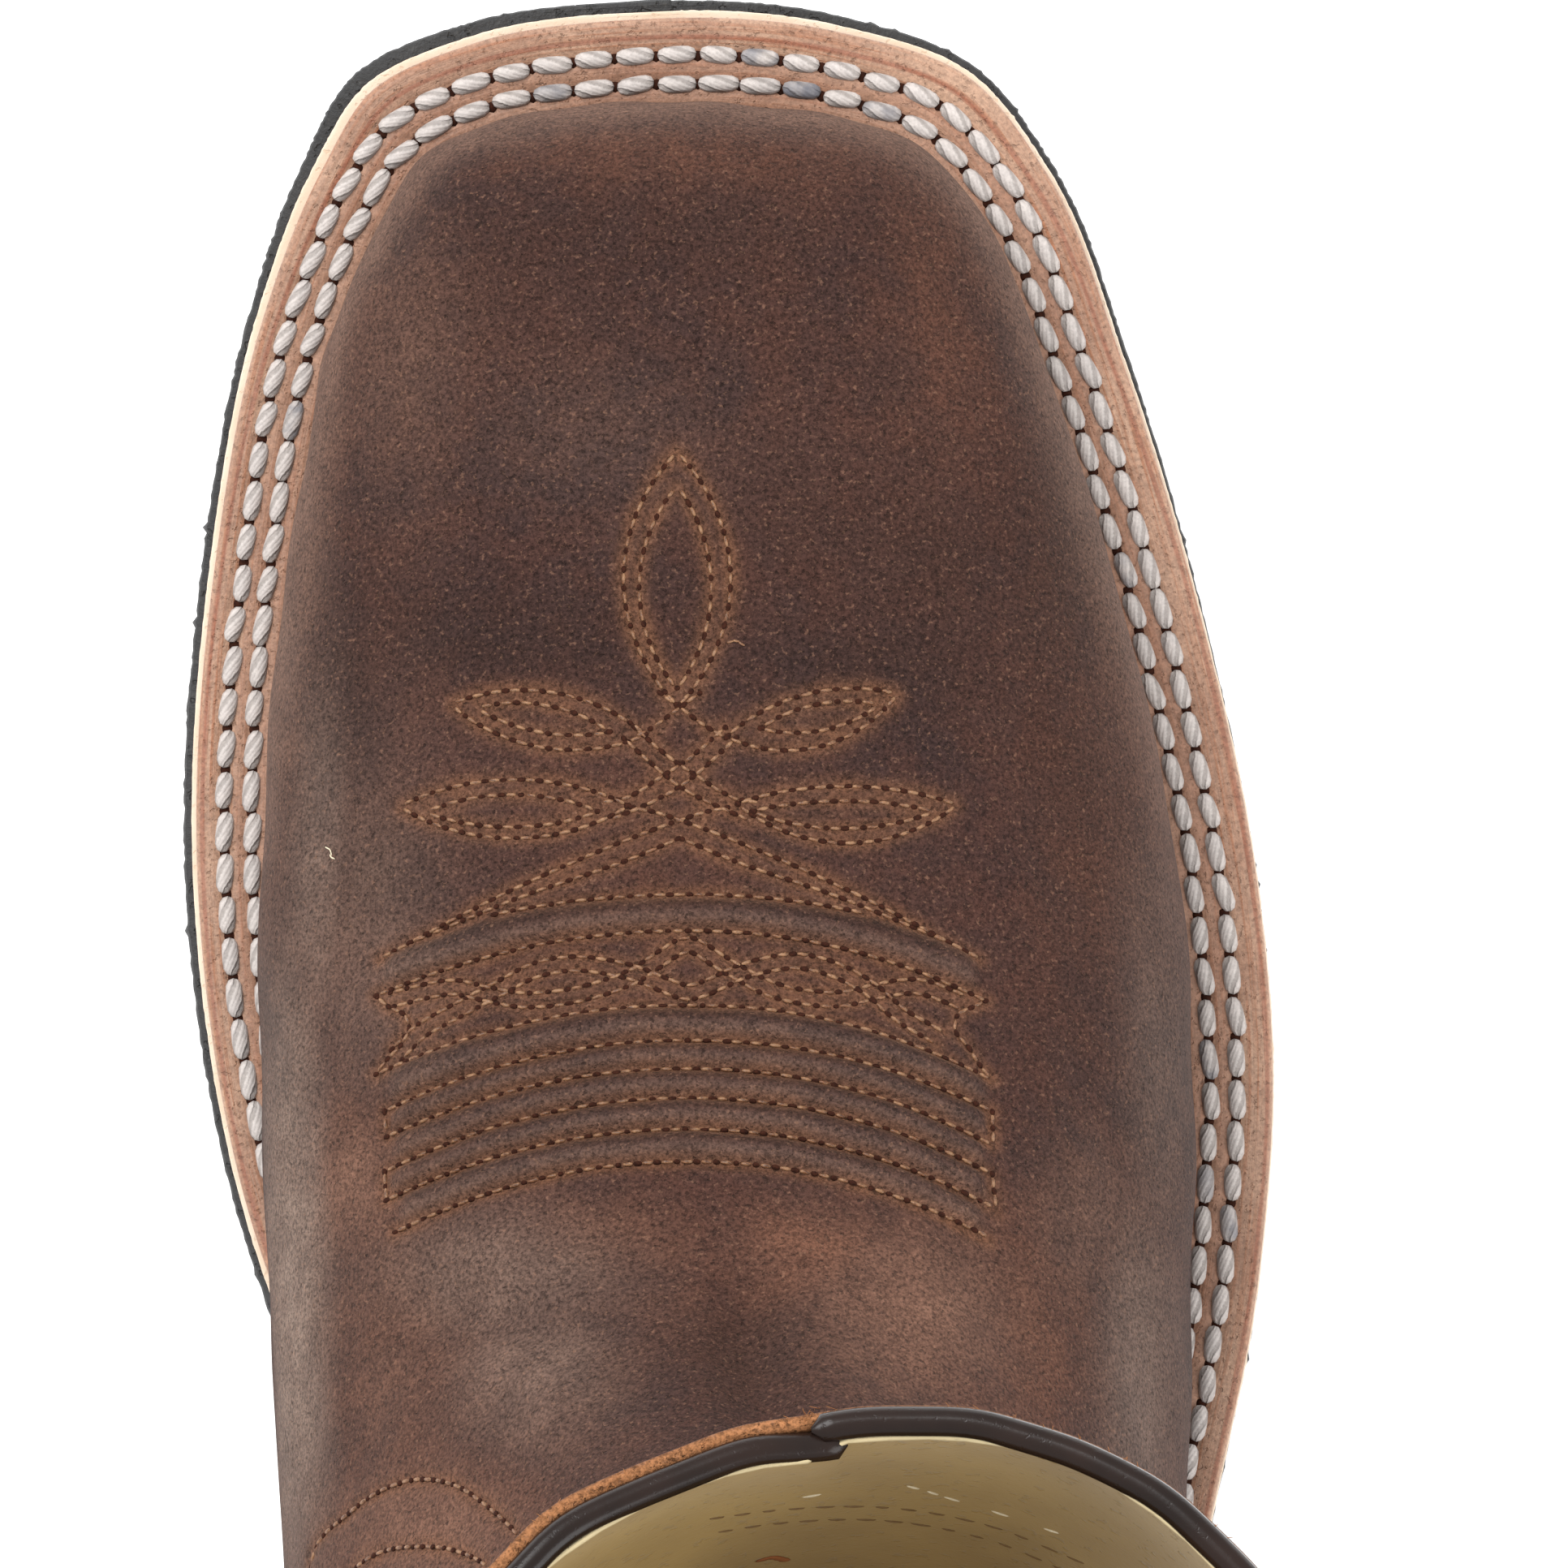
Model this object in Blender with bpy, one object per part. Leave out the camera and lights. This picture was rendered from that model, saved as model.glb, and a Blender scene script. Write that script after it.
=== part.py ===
"""Western boot for the right foot: upper, collar bead, welt, midsole, outsole, heel, heel cap and insole.

Frame: +Y points to the toe, +X to the outer side of the foot, +Z up, and the floor is Z = 0.
Lengths in the tables are millimetres. "behind" is the distance behind the toe tip,
"across" is positive to the outer side and "up" is the height above the floor.
"""
import math
from collections import namedtuple

import bpy
import numpy as np

MM = 0.001

# Driving sizes, millimetres
SOLE_LENGTH = 305.0
HEEL_HEIGHT = 30.0
HEEL_CAP_HEIGHT = 6.0
HEEL_BREAST = 238.0
TOE_SPRING = 10.0
TREAD_FRONT = 76.0
TREAD_BACK = 120.0
SHANK_END = 234.0
OUTSOLE_THICKNESS = 5.0
MIDSOLE_THICKNESS = 2.6
WELT_THICKNESS = 3.0
INSOLE_THICKNESS = 3.0
WALL = 2.2
BEAD_RADIUS = 1.5
GAP = 0.3
COLLAR_SIDE_LIFT = 14.0
LIFT_START = 200.0
INSOLE_PLAY = 0.5

# Mesh fineness
HALF_COLUMNS = 16
TOE_SPOKES = 20
OPEN_ROWS = 34
SHAFT_ROWS = 12
PLATE_STATIONS = 44
WELT_STATIONS = 110
BEAD_SIDES = 8
HEEL_STATIONS = 22
DENSE = 720
TIP = 0.06
CURVE_SAMPLES = 160
SCAN_STEPS = 1000
HALVINGS = 50
SHARE_LIMIT = 0.9995
SLOPE_STEP = 0.01

OutlinePoint = namedtuple("OutlinePoint", "name behind across trim welt")

# Edge of the outsole, clockwise from the toe. "trim" is how far the midsole lies inside this edge,
# "welt" how far the upper lies inside it.
SOLE_EDGE = [
    OutlinePoint("toe centre", 0.0, -6.0, 1.4, 11.5),
    OutlinePoint("toe outer", 2.6, 17.5, 1.3, 11.5),
    OutlinePoint("outer corner", 8.0, 30.7, 1.2, 10.8),
    OutlinePoint("outer corner back", 19.0, 38.5, 0.9, 9.6),
    OutlinePoint("outer toe side", 40.0, 45.5, 0.6, 8.8),
    OutlinePoint("outer forefoot", 66.0, 51.8, 0.5, 8.3),
    OutlinePoint("outer ball", 97.0, 56.4, 0.5, 8.2),
    OutlinePoint("outer ball back", 117.0, 57.0, 0.5, 8.3),
    OutlinePoint("outer waist front", 138.0, 54.4, 0.5, 8.0),
    OutlinePoint("outer waist", 170.0, 46.5, 0.5, 6.2),
    OutlinePoint("outer shank", 210.0, 39.5, 0.6, 4.6),
    OutlinePoint("outer heel", 255.0, 36.2, 0.8, 3.2),
    OutlinePoint("outer heel back", 285.0, 31.5, 0.8, 2.8),
    OutlinePoint("heel back outer", 300.0, 18.0, 0.8, 2.8),
    OutlinePoint("heel back", 305.0, 1.0, 0.8, 2.8),
    OutlinePoint("heel back inner", 300.0, -16.0, 0.8, 2.8),
    OutlinePoint("inner heel back", 285.0, -29.5, 0.8, 2.8),
    OutlinePoint("inner heel", 255.0, -33.8, 0.8, 3.2),
    OutlinePoint("inner shank", 212.0, -30.0, 0.8, 4.2),
    OutlinePoint("inner waist", 178.0, -34.8, 0.8, 5.2),
    OutlinePoint("inner waist front", 148.0, -46.5, 0.8, 7.0),
    OutlinePoint("inner ball back", 122.0, -54.0, 0.8, 8.2),
    OutlinePoint("inner ball", 90.0, -57.0, 0.9, 8.3),
    OutlinePoint("inner forefoot", 56.0, -53.5, 0.9, 8.2),
    OutlinePoint("inner toe side", 30.0, -47.2, 1.2, 8.2),
    OutlinePoint("inner corner back", 15.0, -41.0, 1.8, 9.6),
    OutlinePoint("inner corner", 6.6, -35.0, 2.0, 10.8),
    OutlinePoint("toe inner", 1.6, -23.0, 1.7, 11.5),
]

LastRow = namedtuple(
    "LastRow", "name crown_behind crown_up tilt crown_across base_across medial lateral widest top low")

# Sections of the upper, a row each, from the toe box to the collar. A section is cut by a plane that
# holds the crown point and leans back by "tilt" degrees from upright. "medial" and "lateral" are
# the reach at the widest place, which lies "widest" from the crown. "top" and "low" are the
# powers of the rounded curve above and below that place.
LAST = [
    LastRow("toe box", 37.0, 47.0, 0.0, -3.0, -3.0, -42.0, 36.6, 22.5, 2.35, 2.4),
    LastRow("vamp front", 62.0, 52.0, 0.0, -3.6, -3.0, -46.8, 43.0, 26.5, 2.25, 2.4),
    LastRow("ball", 92.0, 60.0, 0.0, -4.4, -2.0, -49.8, 48.4, 33.0, 2.1, 2.4),
    LastRow("vamp back", 118.0, 71.0, 8.0, -4.6, 0.0, -50.4, 48.8, 40.0, 1.98, 2.4),
    LastRow("instep", 136.0, 84.0, 22.0, -4.0, 0.5, -50.4, 46.8, 49.0, 1.9, 2.4),
    LastRow("throat below", 147.0, 97.5, 40.0, -2.8, 1.0, -49.4, 44.4, 59.0, 1.88, 2.35),
    LastRow("throat", 153.0, 112.0, 60.0, -1.2, 1.0, -44.4, 42.4, 70.0, 1.95, 2.25),
    LastRow("ankle below", 154.6, 122.0, 76.0, 0.6, 1.0, -42.0, 42.4, 72.0, 2.0, 2.2),
    LastRow("ankle", 155.2, 134.0, 90.0, 2.0, 1.0, -42.2, 43.4, 72.0, 2.05, 2.15),
    LastRow("shaft low", 154.4, 172.0, 90.0, 4.0, 1.6, -44.6, 47.0, 71.0, 2.1, 2.1),
    LastRow("shaft", 151.2, 232.0, 90.0, 5.6, 2.4, -48.6, 52.2, 72.0, 2.12, 2.12),
    LastRow("collar", 146.0, 305.0, 90.0, 7.0, 3.0, -51.0, 55.0, 75.0, 2.12, 2.12),
]

BackPoint = namedtuple("BackPoint", "up behind")

# Back line of the heel counter and shaft, from the sole up
BACK_LINE = [
    BackPoint(41.5, 301.9),
    BackPoint(58.0, 302.9),
    BackPoint(78.0, 301.4),
    BackPoint(104.0, 296.6),
    BackPoint(134.0, 291.6),
    BackPoint(172.0, 289.6),
    BackPoint(232.0, 291.4),
    BackPoint(305.0, 296.0),
]

HeelLevel = namedtuple("HeelLevel", "up shrink undercut")

# Heel block and cap by height: "shrink" narrows each side, "undercut" draws the back forward
HEEL_LEVELS = [
    HeelLevel(0.0, 3.2, 7.0),
    HeelLevel(HEEL_CAP_HEIGHT, 3.0, 6.0),
    HeelLevel(HEEL_CAP_HEIGHT + GAP, 3.0, 6.0),
    HeelLevel(16.0, 2.4, 3.8),
    HeelLevel(HEEL_HEIGHT - GAP, 0.6, 0.6),
]

Finish = namedtuple("Finish", "red green blue roughness")

FINISHES = {
    "upper": Finish(0.11, 0.062, 0.042, 0.75),
    "collar_bead": Finish(0.04, 0.018, 0.011, 0.45),
    "welt": Finish(0.42, 0.19, 0.075, 0.6),
    "midsole": Finish(0.66, 0.55, 0.38, 0.7),
    "outsole": Finish(0.012, 0.012, 0.013, 0.6),
    "heel": Finish(0.03, 0.02, 0.016, 0.5),
    "heel_cap": Finish(0.012, 0.012, 0.013, 0.6),
    "insole": Finish(0.45, 0.33, 0.2, 0.8),
}


def smooth(knots, values, at):
    """Value of the smooth curve through the knots. The slope at a knot is the weighted mean of its chords."""
    knots = np.asarray(knots, float)
    values = np.asarray(values, float)
    at = np.asarray(at, float)
    step = np.diff(knots)
    chord = np.diff(values) / step
    inner = (chord[:-1] * step[1:] + chord[1:] * step[:-1]) / (step[1:] + step[:-1])
    slope = np.concatenate([chord[:1], inner, chord[-1:]])
    i = np.clip(np.searchsorted(knots, at, side="right") - 1, 0, len(step) - 1)
    t = (at - knots[i]) / step[i]
    rise = t * t * (3 - 2 * t)
    start = (1 - rise) * values[i] + rise * values[i + 1]
    return start + step[i] * t * (1 - t) * ((1 - t) * slope[i] - t * slope[i + 1])


def closed_curve(rows, columns, count):
    """Even samples of the closed smooth curve through the rows, one array for each column."""
    plan = np.array([(row.behind, row.across) for row in rows])
    chord = np.linalg.norm(np.roll(plan, -1, axis=0) - plan, axis=1)
    knots = np.concatenate([[0.0], np.cumsum(chord)])
    whole = knots[-1]
    knots = np.concatenate([knots[-4:-1] - whole, knots, knots[1:4] + whole])
    at = np.arange(count) * whole / count
    result = []
    for column in columns:
        values = np.array([getattr(row, column) for row in rows])
        values = np.concatenate([values[-3:], values, values[:4]])
        result.append(smooth(knots, values, at))
    return result


def inset_curve(behind, across, depth):
    """The closed curve moved inwards by depth."""
    tangent_behind = np.roll(behind, -1) - np.roll(behind, 1)
    tangent_across = np.roll(across, -1) - np.roll(across, 1)
    size = np.hypot(tangent_behind, tangent_across)
    return behind + depth * tangent_across / size, across - depth * tangent_behind / size


def sole_bottom(behind):
    """Height of the outsole's lower face: toe spring, flat tread, arch and heel seat."""
    behind = np.asarray(behind, float)
    spring = np.clip((TREAD_FRONT - behind) / TREAD_FRONT, 0, 1.1)
    arch = np.clip((behind - TREAD_BACK) / (SHANK_END - TREAD_BACK), 0, 1)
    return TOE_SPRING * spring ** 2 + HEEL_HEIGHT * arch * arch * (3 - 2 * arch)


def midsole_bottom(behind):
    return sole_bottom(behind) + OUTSOLE_THICKNESS + GAP


def seat(behind):
    """Height at which the upper, the welt and the insole rest on the midsole."""
    return midsole_bottom(behind) + MIDSOLE_THICKNESS + GAP


def crease(behind):
    """Height at which the upper comes out of the welt."""
    return seat(behind) + WELT_THICKNESS + GAP


edge_behind, edge_across, edge_trim, edge_welt = closed_curve(
    SOLE_EDGE, ("behind", "across", "trim", "welt"), DENSE)
trim_behind, trim_across = inset_curve(edge_behind, edge_across, edge_trim)
crease_behind, crease_across = inset_curve(edge_behind, edge_across, edge_welt)
feather_behind, feather_across = inset_curve(edge_behind, edge_across, edge_welt + GAP)
feather_up = crease(feather_behind)
toe_index = int(np.argmin(feather_behind))
heel_index = int(np.argmax(feather_behind))


def place(behind, across, up):
    """Points in metres in the part's own frame."""
    along = SOLE_LENGTH / 2 - np.asarray(behind, float)
    return np.stack(np.broadcast_arrays(np.asarray(across, float), along, np.asarray(up, float)), -1) * MM


def last_values(t):
    """The section row at place t along the list of rows."""
    rows = np.arange(len(LAST))
    columns = list(zip(*LAST))[1:]
    return LastRow("", *(float(smooth(rows, column, t)) for column in columns))


def branch(side):
    """The feather line from toe to heel on one side: behind, across, up and length along it."""
    if side > 0:
        index = np.arange(toe_index, heel_index + 1) % DENSE
    else:
        index = np.arange(toe_index + DENSE, heel_index - 1, -1) % DENSE
    line = np.stack([feather_behind[index], feather_across[index], feather_up[index]], 1)
    length = np.concatenate([[0.0], np.cumsum(np.linalg.norm(np.diff(line, axis=0), axis=1))])
    return line, length


LINES = {side: branch(side) for side in (-1, 1)}
BACK_UP = np.linspace(BACK_LINE[0].up, BACK_LINE[-1].up, DENSE)
BACK_BEHIND = smooth([p.up for p in BACK_LINE], [p.behind for p in BACK_LINE], BACK_UP)


def past(row, behind, up):
    """How far points lie beyond the section's plane, on the heel or collar side of it."""
    lean = math.radians(row.tilt)
    return (behind - row.crown_behind) * math.cos(lean) + (up - row.crown_up) * math.sin(lean)


def crossing(row, line):
    """Where the section's plane cuts a line of points, or None."""
    gap = past(row, line[:, 0], line[:, 2])
    change = np.nonzero((gap[:-1] <= 0) & (gap[1:] > 0))[0]
    if len(change) == 0:
        return None
    i = change[0]
    share = gap[i] / (gap[i] - gap[i + 1])
    return line[i] + share * (line[i + 1] - line[i])


def back_crossing(row):
    """Where a closed section meets the back line."""
    line = np.stack([BACK_BEHIND, np.full(DENSE, row.base_across), BACK_UP], 1)
    gap = past(row, line[:, 0], line[:, 2])
    i = int(np.clip(np.searchsorted(gap, 0.0), 1, DENSE - 1))
    share = gap[i - 1] / (gap[i - 1] - gap[i])
    return line[i - 1] + share * (line[i] - line[i - 1])


def rounded(reach_top, reach_low, depth_top, depth_end, end_reach, power_top, power_low):
    """Half a section from crown to end: distance out and distance down the plane.

    The upper curve is a quarter of a rounded oval. The lower one is the part of another that
    starts at the widest place and passes through the end.
    """
    turn = np.linspace(0.0, math.pi / 2, CURVE_SAMPLES)
    out_top = reach_top * np.sin(turn) ** (2 / power_top)
    down_top = depth_top - depth_top * np.cos(turn) ** (2 / power_top)
    share = min(max(end_reach / reach_low, 0.0), SHARE_LIMIT)
    depth_low = (depth_end - depth_top) / (1 - share ** power_low) ** (1 / power_low)
    last = math.asin(share ** (power_low / 2))
    turn = np.linspace(math.pi / 2, last, CURVE_SAMPLES)[1:]
    out_low = reach_low * np.sin(turn) ** (2 / power_low)
    down_low = depth_top + depth_low * np.cos(turn) ** (2 / power_low)
    return out_top, down_top, out_low, down_low


def even(points, count):
    """Points spaced evenly along a line of points."""
    length = np.concatenate([[0.0], np.cumsum(np.linalg.norm(np.diff(points, axis=0), axis=1))])
    at = np.linspace(0.0, length[-1], count)
    return np.stack([np.interp(at, length, points[:, i]) for i in range(3)], 1)


def half_section(row, side, end, columns):
    """Points from the end on the feather or back line up to the crown: behind, across, up."""
    lean = math.radians(row.tilt)
    reach = row.lateral if side > 0 else row.medial
    depth_end = (end[0] - row.crown_behind) * math.sin(lean) + (row.crown_up - end[2]) * math.cos(lean)
    out_top, down_top, out_low, down_low = rounded(
        side * (reach - row.crown_across), side * (reach - row.base_across), row.widest, depth_end,
        side * (end[1] - row.base_across), row.top, row.low)
    across = np.concatenate([row.crown_across + side * out_top, row.base_across + side * out_low])
    down = np.concatenate([down_top, down_low])
    points = np.stack([row.crown_behind + down * math.sin(lean), across,
                       row.crown_up - down * math.cos(lean)], 1)
    return even(points[::-1], columns + 1)


def toe_spoke(row, slope, end, bulge, columns):
    """Points from the feather line at the toe up to the pole of the toe box."""
    pole = np.array([row.crown_behind, row.crown_across])
    away = end[:2] - pole
    size = float(np.linalg.norm(away))
    reach = size + bulge
    out_top, down_top, out_low, down_low = rounded(
        reach, reach, row.widest, row.crown_up - end[2], size, row.top, row.low)
    out = np.concatenate([out_top, out_low])
    plan = pole + out[:, None] * (away / size)
    fade = np.clip(1 - out / reach, 0, 1) ** 2
    up = row.crown_up - np.concatenate([down_top, down_low]) + slope * (plan[:, 0] - pole[0]) * fade
    return even(np.column_stack([plan, up])[::-1], columns + 1)


def corner_place(heel):
    """Place along the rows where the section's plane passes through the back of the feather line."""
    low = 0.0
    high = len(LAST) - 1.0
    for _ in range(HALVINGS):
        middle = (low + high) / 2
        if past(last_values(middle), heel[0], heel[2]) > 0:
            low = middle
        else:
            high = middle
    return (low + high) / 2


def lift_sides(ring, centre):
    """Raises the sides of the upper shaft, so that the collar dips in front and behind."""
    share = np.clip((ring[:, 2] - LIFT_START) / (LAST[-1].crown_up - LIFT_START), 0, 1)
    out = (ring[:, 1] - centre) / np.abs(ring[:, 1] - centre).max()
    ring[:, 2] += COLLAR_SIDE_LIFT * share ** 2 * out ** 2
    return ring


def upper_grid(columns, spokes, open_rows, shaft_rows):
    """Outer face of the upper: toe spokes, and rows from the medial to the lateral end."""
    first = last_values(0.0)
    second = last_values(SLOPE_STEP)
    slope = (second.crown_up - first.crown_up) / (second.crown_behind - first.crown_behind)
    ends = {side: crossing(first, LINES[side][0]) for side in (-1, 1)}
    bulges = {-1: ends[-1][1] - first.medial, 1: first.lateral - ends[1][1]}
    front = {side: line[line[:, 0] < ends[side][0]] for side, (line, _) in LINES.items()}
    ring = np.vstack([ends[-1], front[-1][::-1], front[1][1:], ends[1]])
    toe = []
    for end in even(ring, spokes + 1):
        share = np.clip((end[1] - ends[-1][1]) / (ends[1][1] - ends[-1][1]), 0, 1)
        toe.append(toe_spoke(first, slope, end, (1 - share) * bulges[-1] + share * bulges[1], columns))

    line, length = LINES[-1]
    start = np.interp(ends[-1][0], line[:, 0], length)
    heel = line[-1]
    corner = corner_place(heel)
    scan = np.linspace(0.0, corner, SCAN_STEPS)[:-1]
    reached = [np.interp(crossing(last_values(t), line)[0], line[:, 0], length) for t in scan]
    wanted = np.linspace(start, length[-1], open_rows + 2)[:-2]
    rows = []
    for t in np.interp(wanted, np.maximum.accumulate(reached), scan):
        row = last_values(t)
        medial = half_section(row, -1, crossing(row, LINES[-1][0]), columns)
        lateral = half_section(row, 1, crossing(row, LINES[1][0]), columns)
        rows.append(np.vstack([medial, lateral[::-1][1:]]))
    for number, t in enumerate(np.linspace(corner, len(LAST) - 1.0, shaft_rows + 1)):
        row = last_values(t)
        if number == 0:
            row = row._replace(base_across=heel[1])
        back = heel if number == 0 else back_crossing(row)
        medial = half_section(row, -1, back, columns)
        lateral = half_section(row, 1, back, columns)
        rows.append(lift_sides(np.vstack([medial, lateral[::-1][1:]]), row.crown_across))
    return toe, rows


class Shell:
    """Points and faces of one piece."""

    def __init__(self):
        self.points = []
        self.faces = []

    def add(self, points):
        first = len(self.points)
        self.points.extend(points)
        return list(range(first, len(self.points)))

    def quad(self, *corners):
        kept = tuple(dict.fromkeys(corners))
        if len(kept) > 2:
            self.faces.append(kept)

    def strip(self, low, high):
        for i in range(len(low) - 1):
            self.quad(low[i], high[i], high[i + 1], low[i + 1])

    def band(self, low, high):
        self.strip(low + low[:1], high + high[:1])


def outward(points, faces):
    """Unit normals at the points of a shell."""
    total = np.zeros_like(points)
    for face in faces:
        corners = points[list(face)]
        normal = np.cross(corners[2] - corners[0], corners[-1] - corners[1])
        for corner in face:
            total[corner] += normal
    return total / np.linalg.norm(total, axis=1, keepdims=True)


def upper_shell():
    """The hollow upper, with the ring inside its base and the two rings of its collar."""
    toe, rows = upper_grid(HALF_COLUMNS, TOE_SPOKES, OPEN_ROWS, SHAFT_ROWS)
    shell = Shell()
    pole = shell.add([toe[0][-1]])
    spokes = [shell.add(spoke[:-1]) + pole for spoke in toe]
    lines = [spokes[0] + spokes[-1][::-1][1:]]
    for number, row in enumerate(rows[1:], 1):
        if number < OPEN_ROWS:
            lines.append(shell.add(row))
        else:
            ring = shell.add(row[:-1])
            lines.append(ring + ring[:1])
    for spoke, following in zip(spokes, spokes[1:]):
        shell.strip(following, spoke)
    for line, following in zip(lines, lines[1:]):
        shell.strip(line, following)
    ends = [line[0] for line in lines[OPEN_ROWS::-1]]
    ends += [spoke[0] for spoke in spokes[1:-1]]
    ends += [line[-1] for line in lines[:OPEN_ROWS]]
    foot = shell.add([(*shell.points[i][:2], seat(shell.points[i][0])) for i in ends])
    shell.band(foot, ends)
    collar = lines[-1][:-1]

    table = np.array(shell.points)
    outer = place(table[:, 0], table[:, 1], table[:, 2])
    inner = outer - WALL * MM * outward(outer, shell.faces)
    inner[foot, 2] = outer[foot, 2]
    inner[collar, 2] = outer[collar, 2]
    count = len(outer)
    shell.faces += [tuple(i + count for i in face[::-1]) for face in shell.faces]
    shell.points = list(outer) + list(inner)
    inner_foot = [i + count for i in foot]
    inner_collar = [i + count for i in collar]
    shell.band(inner_foot, foot)
    shell.band(collar, inner_collar)
    return shell, inner[foot], outer[collar], inner[collar]


def stations(first, last, count):
    """Places from first to last, close together at both ends."""
    return first + (last - first) * (1 - np.cos(np.linspace(0.0, math.pi, count + 1))) / 2


def sides(behind, across, at):
    """Inner and outer edge of a closed outline at places behind the toe."""
    count = len(behind)
    toe = int(np.argmin(behind))
    heel = int(np.argmax(behind))
    lateral = np.arange(toe, toe + (heel - toe) % count + 1) % count
    medial = np.arange(toe, toe - (toe - heel) % count - 1, -1) % count
    return np.interp(at, behind[medial], across[medial]), np.interp(at, behind[lateral], across[lateral])


def stack(levels):
    """A solid through levels, lowest first. A level is medial, lateral, behind and up, an array each."""
    shell = Shell()
    left = []
    right = []
    for medial, lateral, behind, up in levels:
        left.append(shell.add(place(behind, medial, up)))
        right.append(shell.add(place(behind, lateral, up)))
    for i in range(len(levels) - 1):
        shell.strip(left[i + 1], left[i])
        shell.strip(right[i], right[i + 1])
        shell.quad(left[i][0], left[i + 1][0], right[i + 1][0], right[i][0])
        shell.quad(left[i][-1], right[i][-1], right[i + 1][-1], left[i + 1][-1])
    shell.strip(left[0], right[0])
    shell.strip(right[-1], left[-1])
    return shell


def plate(behind, across, low, thickness):
    """A layer of the sole inside a closed outline."""
    at = stations(behind.min() + TIP, behind.max() - TIP, PLATE_STATIONS)
    medial, lateral = sides(behind, across, at)
    return stack([(medial, lateral, at, low(at)), (medial, lateral, at, low(at) + thickness)])


def welt_strip():
    """The strip from heel breast round the toe to heel breast, outside the upper."""
    inside = np.nonzero(np.minimum(trim_behind, crease_behind) < HEEL_BREAST)[0]
    start = inside[np.argmax(np.diff(inside) > 1) + 1]
    order = np.arange(start, start + len(inside)) % DENSE
    order = order[np.linspace(0, len(order) - 1, WELT_STATIONS + 1).round().astype(int)]
    shell = Shell()
    outer_low = shell.add(place(trim_behind[order], trim_across[order], seat(trim_behind[order])))
    outer_high = shell.add(np.array(shell.points) + (0.0, 0.0, WELT_THICKNESS * MM))
    edge = place(crease_behind[order], crease_across[order], seat(crease_behind[order]))
    inner_low = shell.add(edge)
    inner_high = shell.add(edge + (0.0, 0.0, WELT_THICKNESS * MM))
    shell.strip(outer_high, inner_high)
    shell.strip(inner_low, outer_low)
    shell.strip(outer_low, outer_high)
    shell.strip(inner_high, inner_low)
    shell.quad(outer_low[0], inner_low[0], inner_high[0], outer_high[0])
    shell.quad(outer_low[-1], outer_high[-1], inner_high[-1], inner_low[-1])
    return shell


def bead_ring(outer, inner):
    """The round bead on the collar's edge."""
    centre = (outer + inner) / 2 + (0.0, 0.0, (GAP + BEAD_RADIUS) * MM)
    out = outer - inner
    out[:, 2] = 0.0
    out /= np.linalg.norm(out, axis=1, keepdims=True)
    shell = Shell()
    lines = []
    for turn in np.arange(BEAD_SIDES) * 2 * math.pi / BEAD_SIDES:
        offset = out * math.cos(turn) + np.array([0.0, 0.0, math.sin(turn)])
        lines.append(shell.add(centre + offset * BEAD_RADIUS * MM))
    for line, following in zip(lines, lines[1:] + lines[:1]):
        shell.band(line, following)
    return shell


def heel_levels(chosen):
    """Levels of the heel, drawn in from the outsole's edge."""
    share = np.sin(np.linspace(0.0, math.pi / 2, HEEL_STATIONS + 1))
    length = edge_behind.max() - TIP - HEEL_BREAST
    at = HEEL_BREAST + length * share
    medial, lateral = sides(edge_behind, edge_across, at)
    middle = (medial + lateral) / 2
    half = (lateral - medial) / 2
    result = []
    for level in chosen:
        narrow = half * (1 - level.shrink / half.max())
        back = HEEL_BREAST + length * share * (1 - level.undercut / length)
        result.append((middle - narrow, middle + narrow, back, np.full(len(at), level.up)))
    return result


def finish_material(name):
    finish = FINISHES[name]
    material = bpy.data.materials.new(name)
    material.use_nodes = True
    shader = material.node_tree.nodes["Principled BSDF"]
    shader.inputs["Base Color"].default_value = (finish.red, finish.green, finish.blue, 1.0)
    shader.inputs["Roughness"].default_value = finish.roughness
    return material


def make(name, shell, rounded_faces=False):
    """A named object from a shell, with its own material."""
    mesh = bpy.data.meshes.new(name)
    mesh.from_pydata([tuple(p) for p in shell.points], [], shell.faces)
    mesh.update()
    if rounded_faces:
        mesh.polygons.foreach_set("use_smooth", [True] * len(mesh.polygons))
    mesh.materials.append(finish_material(name))
    thing = bpy.data.objects.new(name, mesh)
    bpy.context.scene.collection.objects.link(thing)
    return thing


def build():
    for thing in list(bpy.data.objects):
        bpy.data.objects.remove(thing, do_unlink=True)
    upper, inner_foot, collar, inner_collar = upper_shell()
    make("upper", upper, True)
    make("collar_bead", bead_ring(collar, inner_collar), True)
    make("welt", welt_strip())
    make("midsole", plate(trim_behind, trim_across, midsole_bottom, MIDSOLE_THICKNESS))
    make("outsole", plate(edge_behind, edge_across, sole_bottom, OUTSOLE_THICKNESS))
    make("heel", stack(heel_levels(HEEL_LEVELS[2:])))
    make("heel_cap", stack(heel_levels(HEEL_LEVELS[:2])))
    behind = SOLE_LENGTH / 2 - inner_foot[:, 1] / MM
    behind, across = inset_curve(behind, inner_foot[:, 0] / MM, INSOLE_PLAY)
    make("insole", plate(behind, across, seat, INSOLE_THICKNESS))


build()
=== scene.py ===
# %% [markdown]
# # A western boot, dressed from its bare solids
# The frame holds the plain solids of a right boot: upper, collar bead, welt, midsole, outsole, heel,
# heel cap and insole. This lesson gives each of them the surface of the real one: oiled nubuck with
# a stitched toe, rope-like welt stitches, a rolled collar and a rough trimmed rubber edge.
# Lengths are in millimetres until a mesh is made. +Y is the toe, +X the outer side, +Z up.

# %% Load the frame
import math
from collections import namedtuple

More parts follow.
